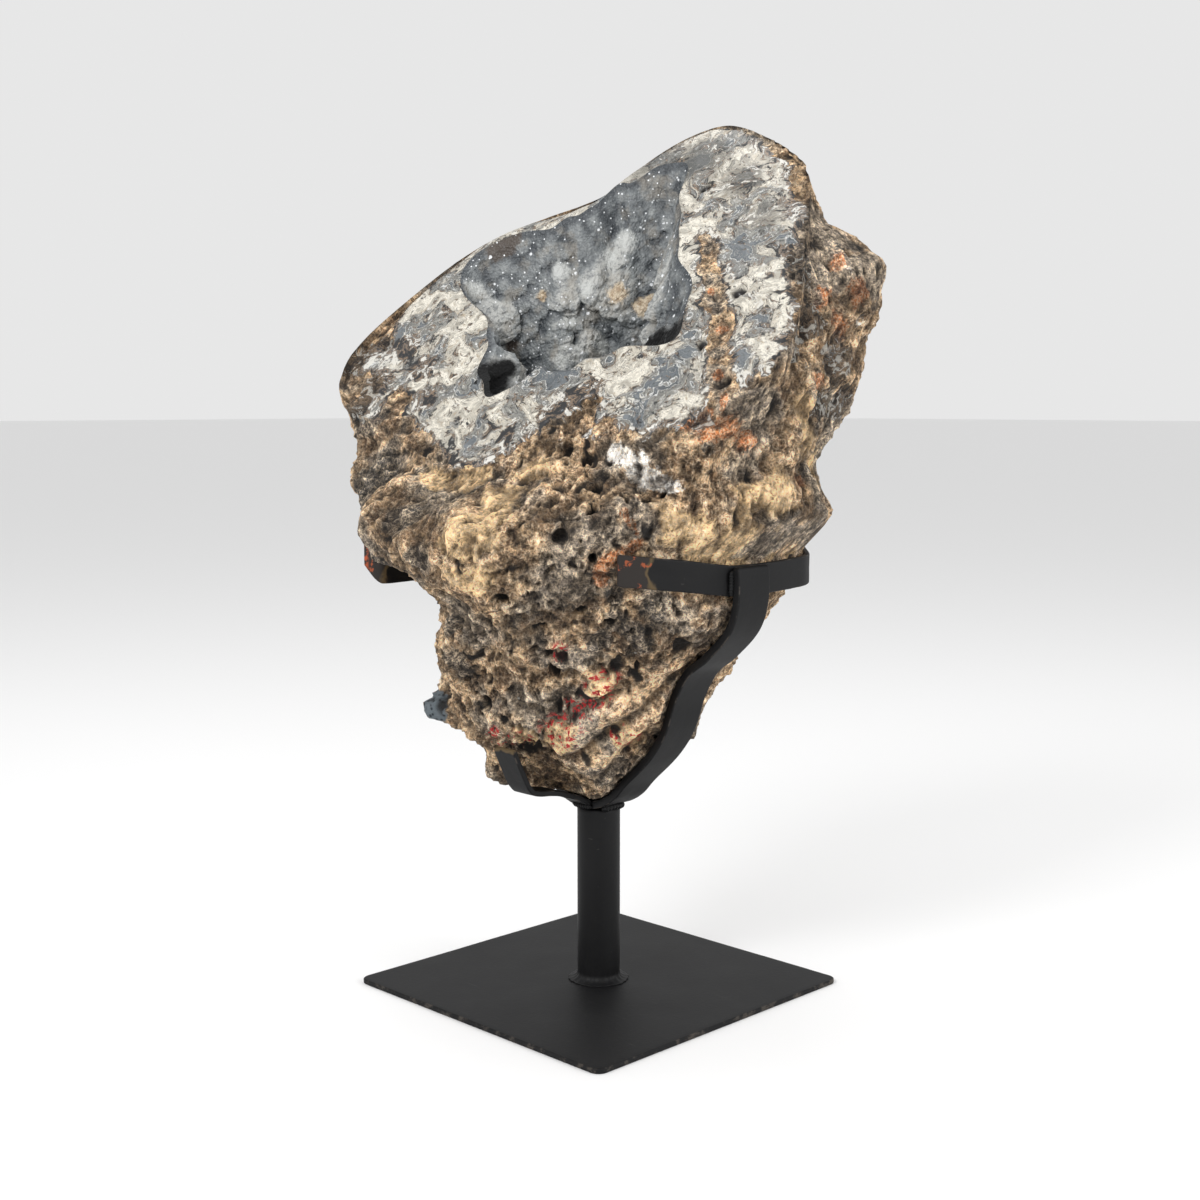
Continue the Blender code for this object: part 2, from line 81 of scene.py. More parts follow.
# Stone outline, as in the solids
STONE_TURN = np.radians(45)
STONE_FOOT = 115.2
SQUARENESS = 2.2
RIGHT_REACH = [
    (115, 13), (121, 21), (131, 33), (145, 48), (157, 58), (169, 65), (181, 72), (193, 79),
    (217, 94), (231, 102), (250, 112), (262, 118), (270, 131), (282, 131), (296, 128), (310, 124),
    (322, 129), (345, 141), (367, 149), (379, 151), (396, 159), (418, 159), (432, 153), (445, 128),
    (470, 122), (500, 110), (530, 95),
]
LEFT_REACH = [
    (115, 10), (121, 42), (127, 56), (145, 70), (155, 86), (169, 92), (184, 91), (203, 94),
    (222, 91), (231, 95), (246, 107), (259, 122), (270, 131), (282, 137), (298, 147), (316, 145),
    (324, 141), (335, 147), (348, 151), (373, 149), (400, 145), (450, 125), (530, 95),
]
FRONT_REACH = [
    (115, 9), (121, 22), (131, 35), (145, 49), (163, 58), (182, 65), (198, 74), (208, 84),
    (224, 97), (240, 106), (262, 113), (290, 118), (320, 118), (345, 112), (400, 96), (530, 80),
]
BACK_REACH = [
    (115, 8), (121, 18), (131, 34), (145, 48), (163, 62), (182, 70), (206, 80), (226, 90),
    (245, 98), (280, 106), (330, 112), (390, 108), (440, 98), (530, 76),
]
FACE_POINT = np.array([2.0, 0.0, 412.0])
FACE_NORMAL = np.array([-0.42, -0.64, 0.645])
FACE_CROWN = 5.0
RIM_OUTLINE = [
    (7, 110), (20, 101), (36, 95), (60, 76), (75, 66), (89, 62), (103, 69), (117, 84), (129, 108),
    (140, 130), (148, 148), (156, 174), (161, 171), (166, 158), (173, 132), (180, 117), (191, 105),
    (214, 88), (230, 75), (247, 68), (262, 72), (278, 90), (288, 108), (298, 126), (304, 138),
    (317, 139), (334, 124), (346, 121), (358, 119),
]
SHOULDER = 44.0
MOUTH_CENTRE = (-14.0, 12.0)
MOUTH_OUTLINE = [
    (4.8, 59), (22, 73), (34, 68), (50, 56), (75, 45), (100, 45), (115, 58), (127, 78), (138, 93),
    (146, 92), (151, 72), (156, 58), (165, 52), (183, 52), (198, 56), (207, 59), (214, 61), (220, 56),
    (227, 47), (236, 42), (250, 43), (262, 46), (280, 52), (292, 56), (300, 64), (304, 82), (308, 97),
    (312, 92), (316, 84), (327, 77), (335, 66), (348, 61),
]
MOUTH_WANDER = ((1.6, 11, 2.0), (1.0, 19, 0.4))

# Undercuts behind the mouth's near edge, which the solids leave out: place (x, y, z), reach and depth
RECESSES = [(-64, -8, 355, 17, 14), (44, -52, 372, 15, 12)]

# Hollow and crust, whose back is closer to the stone than in the solids
HOLLOW_FOOT = np.array([-4.0, 14.0, 326.0])
HOLLOW_HEART = np.array([-6.0, 14.0, 384.0])
CRUST_BACK_GAP = 0.1
CRUST_EDGE = 2.6
CRUST_THICK = 6.5
CRUST_BUMPS = 44
BUMP_SIZES = (11.0, 19.0)

# Broad forms of the rough wall: place (x, y, z), reach and rise
LUMPS = [
    (112, -60, 276, 34, 9), (60, -95, 222, 30, 11), (140, -20, 400, 30, 6), (-128, 10, 345, 26, 6),
    (-120, -40, 290, 34, 7), (-96, -6, 168, 13, 9), (-60, -10, 128, 16, 5), (20, -70, 165, 24, 6),
    (-60, -80, 250, 36, 7), (10, -112, 300, 26, 7), (-90, -40, 205, 26, 6), (90, 70, 300, 44, 10),
    (-60, 90, 300, 46, 9), (20, 80, 200, 36, 8), (60, 90, 400, 34, 7), (-110, 60, 330, 30, 6),
    (118, -38, 242, 22, -9), (66, -70, 190, 22, -10), (24, -62, 148, 18, -8), (-26, -2, 120, 14, -7),
    (-12, -118, 300, 15, -10), (-22, -105, 262, 15, -8), (-112, -20, 322, 16, -6),
    (70, -112, 310, 14, -7), (-140, 0, 318, 14, -5), (0, 100, 260, 26, -9), (110, 40, 340, 26, -8),
]
ROUGH_WAVES = ((34.0, 6.0), (15.0, 3.6))

# Marks on the stone: place (x, y, z) and reach, in millimetres
HOLES = [
    (-3, -96, 304, 6), (-2, -113, 293, 5), (15, -111, 297, 4), (23, -109, 298, 4), (-19, -111, 288, 4),
    (-19, -114, 275, 6), (33, -106, 301, 4), (18, -100, 242, 6), (-18, -71, 322, 6), (-7, -80, 318, 5),
    (-27, -83, 212, 6), (-25, -74, 200, 5), (-79, -54, 221, 5), (-9, -103, 237, 4), (-76, -45, 191, 4),
    (-64, -48, 178, 5), (-67, -43, 171, 4), (-54, -55, 179, 4), (-45, -32, 143, 5), (20, -79, 202, 5),
    (-28, -103, 249, 4), (6, -99, 229, 5), (-4, -113, 265, 5), (-52, -98, 243, 4), (33, -94, 221, 4),
]
FACE_HOLES = [(75, -52, 407, 6), (61, 21, 470, 4), (62, -92, 358, 5), (67, -92, 360, 4), (54, -69, 377, 4)]
CREAM = [
    (-88, -42, 303, 14), (-71, -52, 309, 16), (-52, -84, 294, 18), (-62, -104, 280, 20), (-37, -72, 309, 13),
    (-78, -100, 275, 16), (-67, -100, 253, 13), (53, -104, 275, 15), (75, -89, 271, 16), (99, -65, 272, 17),
    (110, -50, 272, 16), (96, -86, 297, 19), (80, -94, 295, 14), (120, -25, 306, 16), (111, -72, 342, 13),
    (112, -65, 327, 12), (17, -58, 160, 18), (1, -75, 191, 14), (-21, -57, 159, 14), (-40, -48, 160, 12),
    (70, -100, 262, 12), (40, -108, 278, 14), (74, -98, 280, 13), (58, -98, 266, 13),
]
WHITE = [
    (19, -95, 313, 12), (29, -99, 308, 13), (11, -90, 319, 9), (37, -102, 303, 10), (24, -98, 320, 8),
    (-21, -67, 326, 7), (-90, -13, 336, 8), (-64, -60, 316, 7), (141, -38, 393, 8), (128, -62, 370, 8),
    (137, -46, 416, 7), (128, -58, 340, 7),
]
RUST = [
    (52, -104, 337, 10), (58, -110, 331, 12), (47, -102, 336, 9), (67, -110, 336, 11), (74, -97, 327, 11),
    (119, -59, 401, 11), (131, -54, 385, 10), (132, -43, 423, 11), (140, -49, 405, 10), (105, -62, 300, 10),
    (63, -26, 425, 4), (64, -45, 408, 4), (65, -66, 386, 5), (63, -90, 361, 6), (64, -103, 346, 6),
    (119, -67, 358, 10), (84, -96, 318, 9),
]
RED = [
    (-21, -85, 214, 10), (1, -75, 191, 16), (17, -58, 160, 14), (-21, -60, 162, 16), (-56, -43, 156, 12),
    (-13, -64, 175, 14), (22, -106, 257, 6), (1, -68, 184, 12), (-44, -49, 158, 10), (12, -62, 160, 12),
]
DARK = [
    (11, -98, 232, 13), (22, -92, 216, 14), (1, -92, 222, 12), (32, -97, 240, 12), (9, -103, 244, 9),
    (17, -97, 227, 14), (38, -39, 156, 12), (46, -38, 164, 12), (30, -29, 142, 12), (-138, 22, 336, 24),
    (-126, -4, 307, 24), (-109, -59, 282, 18), (-96, -79, 262, 16), (109, -53, 421, 12), (102, -46, 426, 11),
    (118, -49, 417, 10), (132, -40, 429, 9), (114, -62, 401, 9), (-76, -45, 200, 16), (-92, -11, 171, 12),
    (10, -100, 325, 10), (-30, -95, 280, 10), (-80, -50, 225, 14), (-140, 0, 300, 22), (-120, -30, 262, 20),
    (112, -55, 312, 10), (60, -112, 318, 8), (64, -36, 416, 9), (65, -56, 397, 9), (64, -78, 373, 9),
    (64, -97, 353, 8), (62, -16, 433, 8),
]
RUST_FLOW = [(12, -115, 290), (20, -111, 277), (14, -114, 269), (3, -113, 263), (1, -109, 254)]
RUST_FLOW_REACH = (4.0, 6.0)
BROWN_SEAM = [
    (60, -12, 436), (63, -28, 424), (65, -40, 413), (64, -51, 401), (66, -63, 390), (64, -73, 379),
    (62, -82, 368), (64, -93, 358), (65, -103, 347), (60, -114, 330), (56, -120, 318),
]
BROWN_SEAM_REACH = (9.0, 17.0)
FACE_MATRIX = [
    (-12, -66, 338, 16), (-25, -62, 332, 14), (2, -76, 334, 12), (-4, -58, 346, 8), (-142, 40, 356, 20),
    (-120, 16, 345, 16), (72, -108, 346, 13), (-130, 60, 384, 8), (106, -86, 376, 12), (112, -66, 396, 9),
]
FACE_PALE = [
    (-82, 32, 389, 22), (-90, -13, 336, 16), (-67, -25, 342, 18), (-83, 9, 365, 20), (48, -93, 347, 11),
    (22, -62, 362, 11), (-2, -47, 362, 9), (104, -52, 424, 18), (85, -90, 374, 12), (-75, -29, 331, 14),
    (54, -30, 415, 10), (-106, 50, 402, 12), (52, -13, 431, 9),
]
FACE_MOTTLE = [
    (-147, 60, 374, 16), (-134, 58, 380, 14), (-118, 48, 379, 15), (-104, 26, 366, 13), (-134, 36, 358, 16),
    (-103, 6, 348, 12), (-16, -53, 348, 11), (-4, -54, 353, 9), (-28, -53, 340, 11), (106, -80, 376, 13),
    (127, -50, 368, 17), (136, -38, 345, 16), (122, -58, 345, 12), (-146, 30, 345, 14),
    (106, -54, 424, 9), (101, -44, 430, 7), (112, -58, 414, 8),
    (113, -67, 388, 12), (52, -107, 338, 10), (-50, -45, 325, 9),
]
FACE_BLUE = [
    (50, -50, 393, 8), (51, -62, 381, 9), (44, -71, 369, 9), (36, -72, 362, 9), (28, -71, 357, 8),
    (20, -75, 350, 7), (-42, -33, 354, 9), (-26, -38, 360, 9), (-12, -40, 366, 7), (6, -46, 368, 8),
    (78, -30, 431, 10), (80, -44, 417, 9), (86, -73, 391, 9), (75, -90, 366, 9), (66, 10, 455, 10),
    (1, 91, 501, 16), (25, 79, 506, 16), (-25, 118, 512, 16), (60, 39, 488, 11), (81, 9, 473, 9),
]
# Grey-brown tint with painted shade across the top of the polished face
FACE_GREY_TINT_AND_SHADE = [
    (1, 91, 501, 30), (31, 70, 500, 28), (60, 39, 488, 24), (-25, 118, 512, 26), (81, 9, 473, 18),
    (90, -20, 452, 16), (20, 60, 490, 20),
]
FACE_EYES = [(9, -77, 338, 8), (6, -68, 346, 7), (19, -76, 347, 8), (72, -80, 380, 9), (-40, -50, 333, 8)]
CRUST_TAN = [(26, 45, 402, 9), (31, 43, 406, 6), (11, 42, 411, 9), (-34, 58, 410, 5)]
CRUST_PALE = [
    (-18, 47, 394, 8), (-7, 44, 414, 7), (-76, 66, 416, 9), (7, 54, 431, 9), (-23, 54, 425, 9),
    (16, 51, 443, 10), (1, 40, 380, 9), (-23, 42, 371, 8), (-64, 50, 400, 9),
]
CRUST_BROWN = [(-58, 72, 443, 13), (-63, 72, 438, 10), (-52, 72, 446, 9), (10, 62, 440, 5), (-53, 64, 381, 6)]
# Painted shade in the crust's two recesses: near-black inside them, darker round them
CRUST_RECESS_SHADE = [
    (-60, 2, 359, 12), (-57, 4, 364, 9), (-64, -1, 359, 15), (-53, 7, 366, 7), (-70, -10, 352, 22),
    (35, -15, 381, 10), (29, -9, 379, 7), (41, -27, 382, 11), (45, -55, 384, 12), (49, -58, 376, 16),
]
GROOVE_PLACES = [(6, -62, 172, 30), (34, -62, 186, 30), (-6, -52, 152, 22)]
SMOOTH = [
    (53, -102, 274, 14), (76, -88, 270, 17), (101, -60, 270, 20), (97, -84, 297, 14), (112, -30, 262, 18),
]
KNOB = [(-94, -5, 169, 13)]
KNOB_RISE = 7

# The marks by the names that the paints read: ragged and plain ones on the stone, and the crust's
RAGGED_MARKS = {"cream": CREAM, "white": WHITE, "rust": RUST, "red": RED, "dark": DARK}
PLAIN_MARKS = {
    "pale": FACE_PALE, "mottle": FACE_MOTTLE, "blue": FACE_BLUE, "eyes": FACE_EYES, "grey_tint_and_shade": FACE_GREY_TINT_AND_SHADE,
    "knob": KNOB,
}
CRUST_MARKS = {"tan": CRUST_TAN, "pale": CRUST_PALE, "brown": CRUST_BROWN, "deep": CRUST_RECESS_SHADE}

# Domes under the crust's tan and white marks, as shares of each mark's reach
DOME_SPREAD = 1.2
DOME_HEIGHT = 0.7

# The matrix's folds: size, height and seed. Its pores: spacing, depth, share of places with one, and seed
FOLDS = ((16.0, 2.4, 30), (8.5, 2.0, 31), (5.0, 1.8, 32), (3.2, 1.4, 33))
PORES = ((12.0, 3.6, 0.11, 41), (7.0, 2.8, 0.26, 51), (4.4, 2.0, 0.55, 61))
GROOVE_PITCH = 18
GROOVE_DEPTH = 6.0
HOLE_DEPTH = 9
VUG_DEPTH = 7

# Rounded edges, and how rubbed each bar's two ends are
BAR_ROUND = 0.7
PLATE_ROUND = 0.8
WORN_ENDS = {"front_strap": (1.0, 0.2), "rear_strap": (0.2, 1.4), "toe_strap": (0.0, 0.42)}

# Grid sizes
COLUMNS = 400
FRONT_CROWDING = 0.45
WALL_ROWS = 150
FACE_ROWS = 58
LINING_ROWS = 24
CRUST_COLUMNS = 420
CRUST_FRONT_ROWS = 200
CRUST_BACK_ROWS = 10
POST_COLUMNS = 96
SHAFT_ROWS = 60
BEAD_ROWS = 60
BEAD_COLUMNS = 16


# Fields and noise

def hash_unit(ix, iy, iz, seed):
    """A repeatable number from 0 to 1 for each whole-number point: products of its indices, bits mixed."""
    h = (ix * 374761393 + iy * 668265263 + iz * 1274126177 + seed * 974634777) & 0xFFFFFFFF
    h = ((h ^ (h >> 13)) * 1103515245) & 0xFFFFFFFF
    return ((h ^ (h >> 16)) & 0xFFFFFF) / float(0xFFFFFF)


def wave_noise(points, size, seed):
    """Smooth noise from -1 to 1: values at the corners of cubes of this size, blended by s*s*(3-2s)."""
    cell = points / size
    low = np.floor(cell).astype(np.int64)
    s = cell - low
    s = s * s * (3 - 2 * s)
    total = np.zeros(len(points))
    for corner in range(8):
        step = np.array([corner & 1, (corner >> 1) & 1, corner >> 2])
        weight = np.prod(np.where(step == 1, s, 1 - s), axis=1)
        total += weight * hash_unit(*(low + step).T, seed)
    return 2 * total - 1


def wave_vector(points, size, seed):
    """Three wave noises as the parts of a vector."""
    return np.stack([wave_noise(points, size, seed + k) for k in range(3)], axis=1)


def scattered_cells(points, size, seed):
    """Distance, in cube sides, to the nearest of points scattered one to a cube, and that point's number."""
    cell = points / size
    low = np.floor(cell).astype(np.int64)
    nearest = np.full(len(points), 9.0)
    own = np.zeros(len(points))
    for step in np.ndindex(3, 3, 3):
        there = low + np.array(step) - 1
        seat = np.stack([hash_unit(*there.T, seed + k) for k in range(3)], axis=1)
        gap = np.linalg.norm(there + seat - cell, axis=1)
        closer = gap < nearest
        nearest = np.where(closer, gap, nearest)
        own = np.where(closer, hash_unit(*there.T, seed + 3), own)
    return nearest, own


def bell(points, x, y, z, reach):
    """1 at a place, falling as exp(-2 * (distance / reach)^2)."""
    distance = np.linalg.norm(points - np.array([x, y, z], float), axis=-1) / reach
    return np.exp(-2 * distance**2)


def marks(points, places):
    """The strongest of the bells round the places."""
    strength = np.zeros(len(points))
    for place in places:
        strength = np.maximum(strength, bell(points, *place))
    return strength


def ribbon(points, path, reaches):
    """Marks along a path, closely spaced, whose reach grows from its start to its end."""
    route = smooth_path(path, 40)
    growing = np.linspace(*reaches, 40)
    return marks(points, [(*place, reach) for place, reach in zip(route, growing)])


def shaken(points, size, amount, seed):
    """Points moved about by noise, so that marks read from them get ragged edges."""
    return points + amount * wave_vector(points, size, seed)


def ease(values, low, high):
    """0 below low, 1 above high, and s*s*(3-2s) between."""
    s = np.clip((values - low) / (high - low), 0, 1)
    return s * s * (3 - 2 * s)


def unit(vectors):
    """Vectors brought to length 1."""
    return vectors / np.maximum(np.linalg.norm(vectors, axis=-1, keepdims=True), 1e-6)


def dome(distance):
    """Height of half a ball of radius 1: the root of 1 - distance squared, and 0 outside it."""
    return np.sqrt(np.clip(1 - distance**2, 0, None))


# Outlines of the stone

def round_trip(table, angles):
    """A closed outline's radius at each angle: straight lines between the table's points, then smoothed."""
    degrees = np.array([a for a, _ in table], float) % 360
    order = np.argsort(degrees)
    radii = np.array([r for _, r in table], float)[order]
    fine = np.arange(0, 360, 2.0)
    line = np.interp(fine, degrees[order], radii, period=360)
    kernel = np.exp(-(np.arange(-6, 7) ** 2) / 7.0)
    smooth = np.convolve(np.tile(line, 3), kernel / kernel.sum(), "same")[180:360]
    return np.interp(np.degrees(angles) % 360, fine, smooth, period=360)


def reach_at(table, heights):
    """One side's reach from the axis at each height."""
    return np.interp(heights, [z for z, _ in table], [r for _, r in table])


def wall_radius(angles, heights):
    """Level sections are super-ellipses whose half-widths are the four reaches at that height."""
    c, s = np.cos(angles), np.sin(angles)
    across = np.where(c > 0, reach_at(RIGHT_REACH, heights), reach_at(LEFT_REACH, heights))
    deep = np.where(s > 0, reach_at(BACK_REACH, heights), reach_at(FRONT_REACH, heights))
    power = SQUARENESS
    return (np.abs(c / across) ** power + np.abs(s / deep) ** power) ** (-1 / power)


def face_height(x, y):
    """Height of the polished plane above a point of the plan."""
    n = FACE_NORMAL
    return FACE_POINT[2] - (n[0] * (x - FACE_POINT[0]) + n[1] * (y - FACE_POINT[1])) / n[2]


def rim_points(angles):
    """The polished face's outer edge, lowered by the crown."""
    r = round_trip(RIM_OUTLINE, angles)
    x, y = r * np.cos(angles), r * np.sin(angles)
    return np.stack([x, y, face_height(x, y) - FACE_CROWN], axis=-1)


def mouth_points(angles):
    """The hollow's mouth, on the polished plane: its outline and two sine waves round it."""
    r = round_trip(MOUTH_OUTLINE, angles)
    for height, waves, start in MOUTH_WANDER:
        r = r + height * np.sin(waves * angles + start)
    x, y = MOUTH_CENTRE[0] + r * np.cos(angles), MOUTH_CENTRE[1] + r * np.sin(angles)
    return np.stack([x, y, face_height(x, y)], axis=-1)


def outer_wall(angles, share):
    """The rough wall: share 0 at the foot, 1 at the rim. Near the rim its radius blends into the rim's."""
    rim = rim_points(angles)
    z = STONE_FOOT + (rim[..., 2] - STONE_FOOT) * share
    rim_radius = np.hypot(rim[..., 0], rim[..., 1])
    near = ease(1 - (rim[..., 2] - z) / SHOULDER, 0, 1)
    r = wall_radius(angles, z) * (1 - near) + rim_radius * near
    return np.stack([r * np.cos(angles), r * np.sin(angles), z], axis=-1)


def polished_face(angles, share):
    """Straight from the rim (0) to the mouth (1), raised by a quarter sine so that the rim rounds over."""
    rim, mouth = rim_points(angles), mouth_points(angles)
    point = rim + (mouth - rim) * share[..., None]
    point[..., 2] += FACE_CROWN * (np.sin(share * np.pi / 2) - share)
    return point


def hollow_wall(angles, share):
    """A bowl from the mouth (0) to its foot (1): steep, then turning in, by powers of cosine and sine.

    At each recess it is pushed level and outwards, by depth * exp(-2 * (distance / reach)^2).
    """
    mouth = mouth_points(angles)
    turn = share * np.pi / 2
    inward = 1 - np.cos(turn) ** 0.8
    down = np.sin(turn) ** 0.9
    point = np.empty(mouth.shape)
    point[..., :2] = mouth[..., :2] + (HOLLOW_FOOT[:2] - mouth[..., :2]) * inward[..., None]
    point[..., 2] = mouth[..., 2] + (HOLLOW_FOOT[2] - mouth[..., 2]) * down
    outward = unit((point - HOLLOW_HEART) * np.array([1, 1, 0]))
    below_mouth = np.clip(share * 5, 0, 1)
    for *place, depth in RECESSES:
        point = point + outward * (depth * bell(point, *place) * below_mouth)[..., None]
    return point


def towards_heart(points, distance):
    """Points moved by a distance towards the middle of the hollow."""
    offset = points - HOLLOW_HEART
    length = np.linalg.norm(offset, axis=-1, keepdims=True)
    return HOLLOW_HEART + offset * (1 - distance[..., None] / length)


# Flat bars

def smooth_path(path, count):
    """Evenly spaced points on a Catmull-Rom curve through the path's points."""
    p = np.array(path, float)
    p = np.vstack([2 * p[0] - p[1], p, 2 * p[-1] - p[-2]])
    t = np.linspace(0, 1, 12, endpoint=False)[:, None]
    runs = []
    for a, b, c, d in zip(p[:-3], p[1:-2], p[2:-1], p[3:]):
        curve = 2 * b + (c - a) * t + (2 * a - 5 * b + 4 * c - d) * t**2 + (3 * b - a - 3 * c + d) * t**3
        runs.append(curve / 2)
    fine = np.vstack(runs + [p[-2:-1]])
    along = np.r_[0, np.cumsum(np.linalg.norm(np.diff(fine, axis=0), axis=1))]
    even = np.linspace(0, along[-1], count)
    return np.stack([np.interp(even, along, fine[:, k]) for k in range(3)], axis=1)


def strap_frame(path, count, across, inside):
    """Stations of a flat bar of one width direction: points, tangents, widths and outward normals."""
    points = smooth_path(path, count)
    tangents = unit(np.gradient(points, axis=0))
    widths = np.tile(np.array(across, float), (count, 1))
    normals = unit(np.cross(tangents, widths))
    if np.sum(normals * (points - np.array(inside, float))) < 0:
        normals = -normals
    return points, tangents, widths, normals


def stand_bars():
    """The four bent bars: node name, stations, width and thickness, in the stand's axes."""
    cradle = [(x, 0, z) for x, z in CRADLE_PATH]
    toe = [(0, y, z) for y, z in TOE_PATH]
    heart, belt = (0, 0, 330), (0, 0, 250)
    return [
        ("cradle_bar", strap_frame(cradle, 220, (0, 1, 0), heart), BAR_WIDTH, BAR_THICK),
        ("front_strap", strap_frame(FRONT_STRAP, 130, (0, 0, 1), belt), STRAP_WIDTH, STRAP_THICK),
        ("rear_strap", strap_frame(REAR_STRAP, 160, (0, 0, 1), belt), REAR_STRAP_WIDTH, STRAP_THICK),
        ("toe_strap", strap_frame(toe, 70, (1, 0, 0), heart), STRAP_WIDTH, STRAP_THICK),
    ]


def press_into(points, stations, width, thick, margin):
    """Moves the stone's points in where a bar passes, to clear its inner face, easing off beside it."""
    centres, tangents, widths, normals = stations
    near = np.linalg.norm(points[:, None, :] - centres[None, ::4], axis=2).min(axis=1) < 60
    chosen = points[near]
    offset = chosen[:, None, :] - centres[None]
    nearest = np.argmin(np.linalg.norm(offset, axis=2), axis=1)
    here = offset[np.arange(len(chosen)), nearest]
    across = np.abs(np.sum(here * widths[nearest], axis=1))
    along = np.abs(np.sum(here * tangents[nearest], axis=1))
    height = np.sum(here * normals[nearest], axis=1)
    spare = np.maximum(across - width / 2 - margin, 0) + np.maximum(along - margin, 0)
    push = height + thick / 2 + 0.9 - 0.9 * spare
    push = np.where(height < 45, np.maximum(push, 0), 0)
    moved = points.copy()
    moved[near] = chosen - normals[nearest] * push[:, None]
    return moved


# Meshes

def turned(points, angle):
    """Points turned about the vertical axis."""
    c, s = np.cos(angle), np.sin(angle)
    return points @ np.array([[c, s, 0], [-s, c, 0], [0, 0, 1]])


def ring_quads(rows, columns):
    """Quads of a grid that closes round its columns: four corner numbers each."""
    r, c = np.meshgrid(np.arange(rows - 1), np.arange(columns), indexing="ij")
    a = r * columns + c
    b = r * columns + (c + 1) % columns
    return np.stack([a, b, b + columns, a + columns], axis=-1).reshape(-1, 4)


def closed_tube(rows, columns):
    """A ring grid's quads, and fans that close its first and last ring to the two points after the grid."""
    around = np.arange(columns)
    following = (around + 1) % columns
    last = (rows - 1) * columns
    first_point = np.full(columns, rows * columns)
    start = np.stack([following, around, first_point], axis=-1)
    stop = np.stack([last + around, last + following, first_point + 1], axis=-1)
    return ring_quads(rows, columns), np.vstack([start, stop])


def make_piece(name, points, quads, triangles, paint, smooth=True, attributes=None):
    """Puts a surface into a mesh with foreach_set, with its paint and its named point values."""
    mesh = bpy.data.meshes.new(name)
    loops = np.concatenate([quads.ravel(), triangles.ravel()]).astype(np.int32)
    sizes = np.concatenate([np.full(len(quads), 4), np.full(len(triangles), 3)])
    starts = np.concatenate([[0], np.cumsum(sizes)[:-1]]).astype(np.int32)
    mesh.vertices.add(len(points))
    mesh.vertices.foreach_set("co", (points * MM).astype(np.float32).ravel())
    mesh.loops.add(len(loops))
    mesh.loops.foreach_set("vertex_index", loops)
    mesh.polygons.add(len(sizes))
    mesh.polygons.foreach_set("loop_start", starts)
    mesh.update(calc_edges=True)
    mesh.validate()
    mesh.polygons.foreach_set("use_smooth", np.full(len(mesh.polygons), smooth))
    for key, values in (attributes or {}).items():
        layer = mesh.attributes.new(key, "FLOAT", "POINT")
        layer.data.foreach_set("value", np.asarray(values, np.float32))
    mesh.materials.append(paint)
    piece = bpy.data.objects.new(name, mesh)
    bpy.context.scene.collection.objects.link(piece)
    return piece


def ring_normals(grid, inside):
    """Unit normals of a grid that closes round its columns, turned away from the inside points."""
    across = np.roll(grid, -1, axis=1) - np.roll(grid, 1, axis=1)
    n = unit(np.cross(across, np.gradient(grid, axis=0)))
    side = np.sum(n * (grid - inside), axis=-1, keepdims=True)
    return n * np.where(side < 0, -1, 1)


def crowded_angles(columns):
    """Angles round the stone, closer together towards the display side: t - k * sin(t - 270 degrees)."""
    t = np.linspace(0, FULL_TURN, columns, endpoint=False)
    return t - FRONT_CROWDING * np.sin(t - 1.5 * np.pi)


# Stone

def roughen(points):
    """The broad forms: two sizes of noise and the named lumps and dips, as a lift along the normal."""
    lift = np.zeros(len(points))
    for number, (size, height) in enumerate(ROUGH_WAVES):
        lift += height * wave_noise(points, size, number)
    for *place, rise in LUMPS:
        lift += rise * bell(points, *place)
    return lift


def sponge(points):
    """Fine relief of the matrix: sharp folds of bent noise in four sizes, less pores at scattered points."""
    warp = wave_vector(points, 11.0, 20) + 0.5 * wave_vector(points, 4.5, 25)
    bent = points + 3.6 * warp
    relief = np.full(len(points), -1.6)
    for size, height, seed in FOLDS:
        relief += height * ((1 - np.abs(wave_noise(bent, size, seed))) ** 2 - 0.45)
    tall = (bent + 2.4 * warp + 1.3 * wave_vector(points, 3.2, 35)) * np.array([1, 1, 0.7])
    pit = np.zeros(len(points))
    for size, depth, share, seed in PORES:
        gap, own = scattered_cells(tall, size, seed)
        reach = 0.20 + 0.30 * own / share
        bowl = np.clip(1 - (gap / reach) ** 2, 0, 1) ** 0.7 * (own < share)
        relief -= depth * bowl
        pit = np.maximum(pit, bowl * depth / 4.2)
    return relief, pit


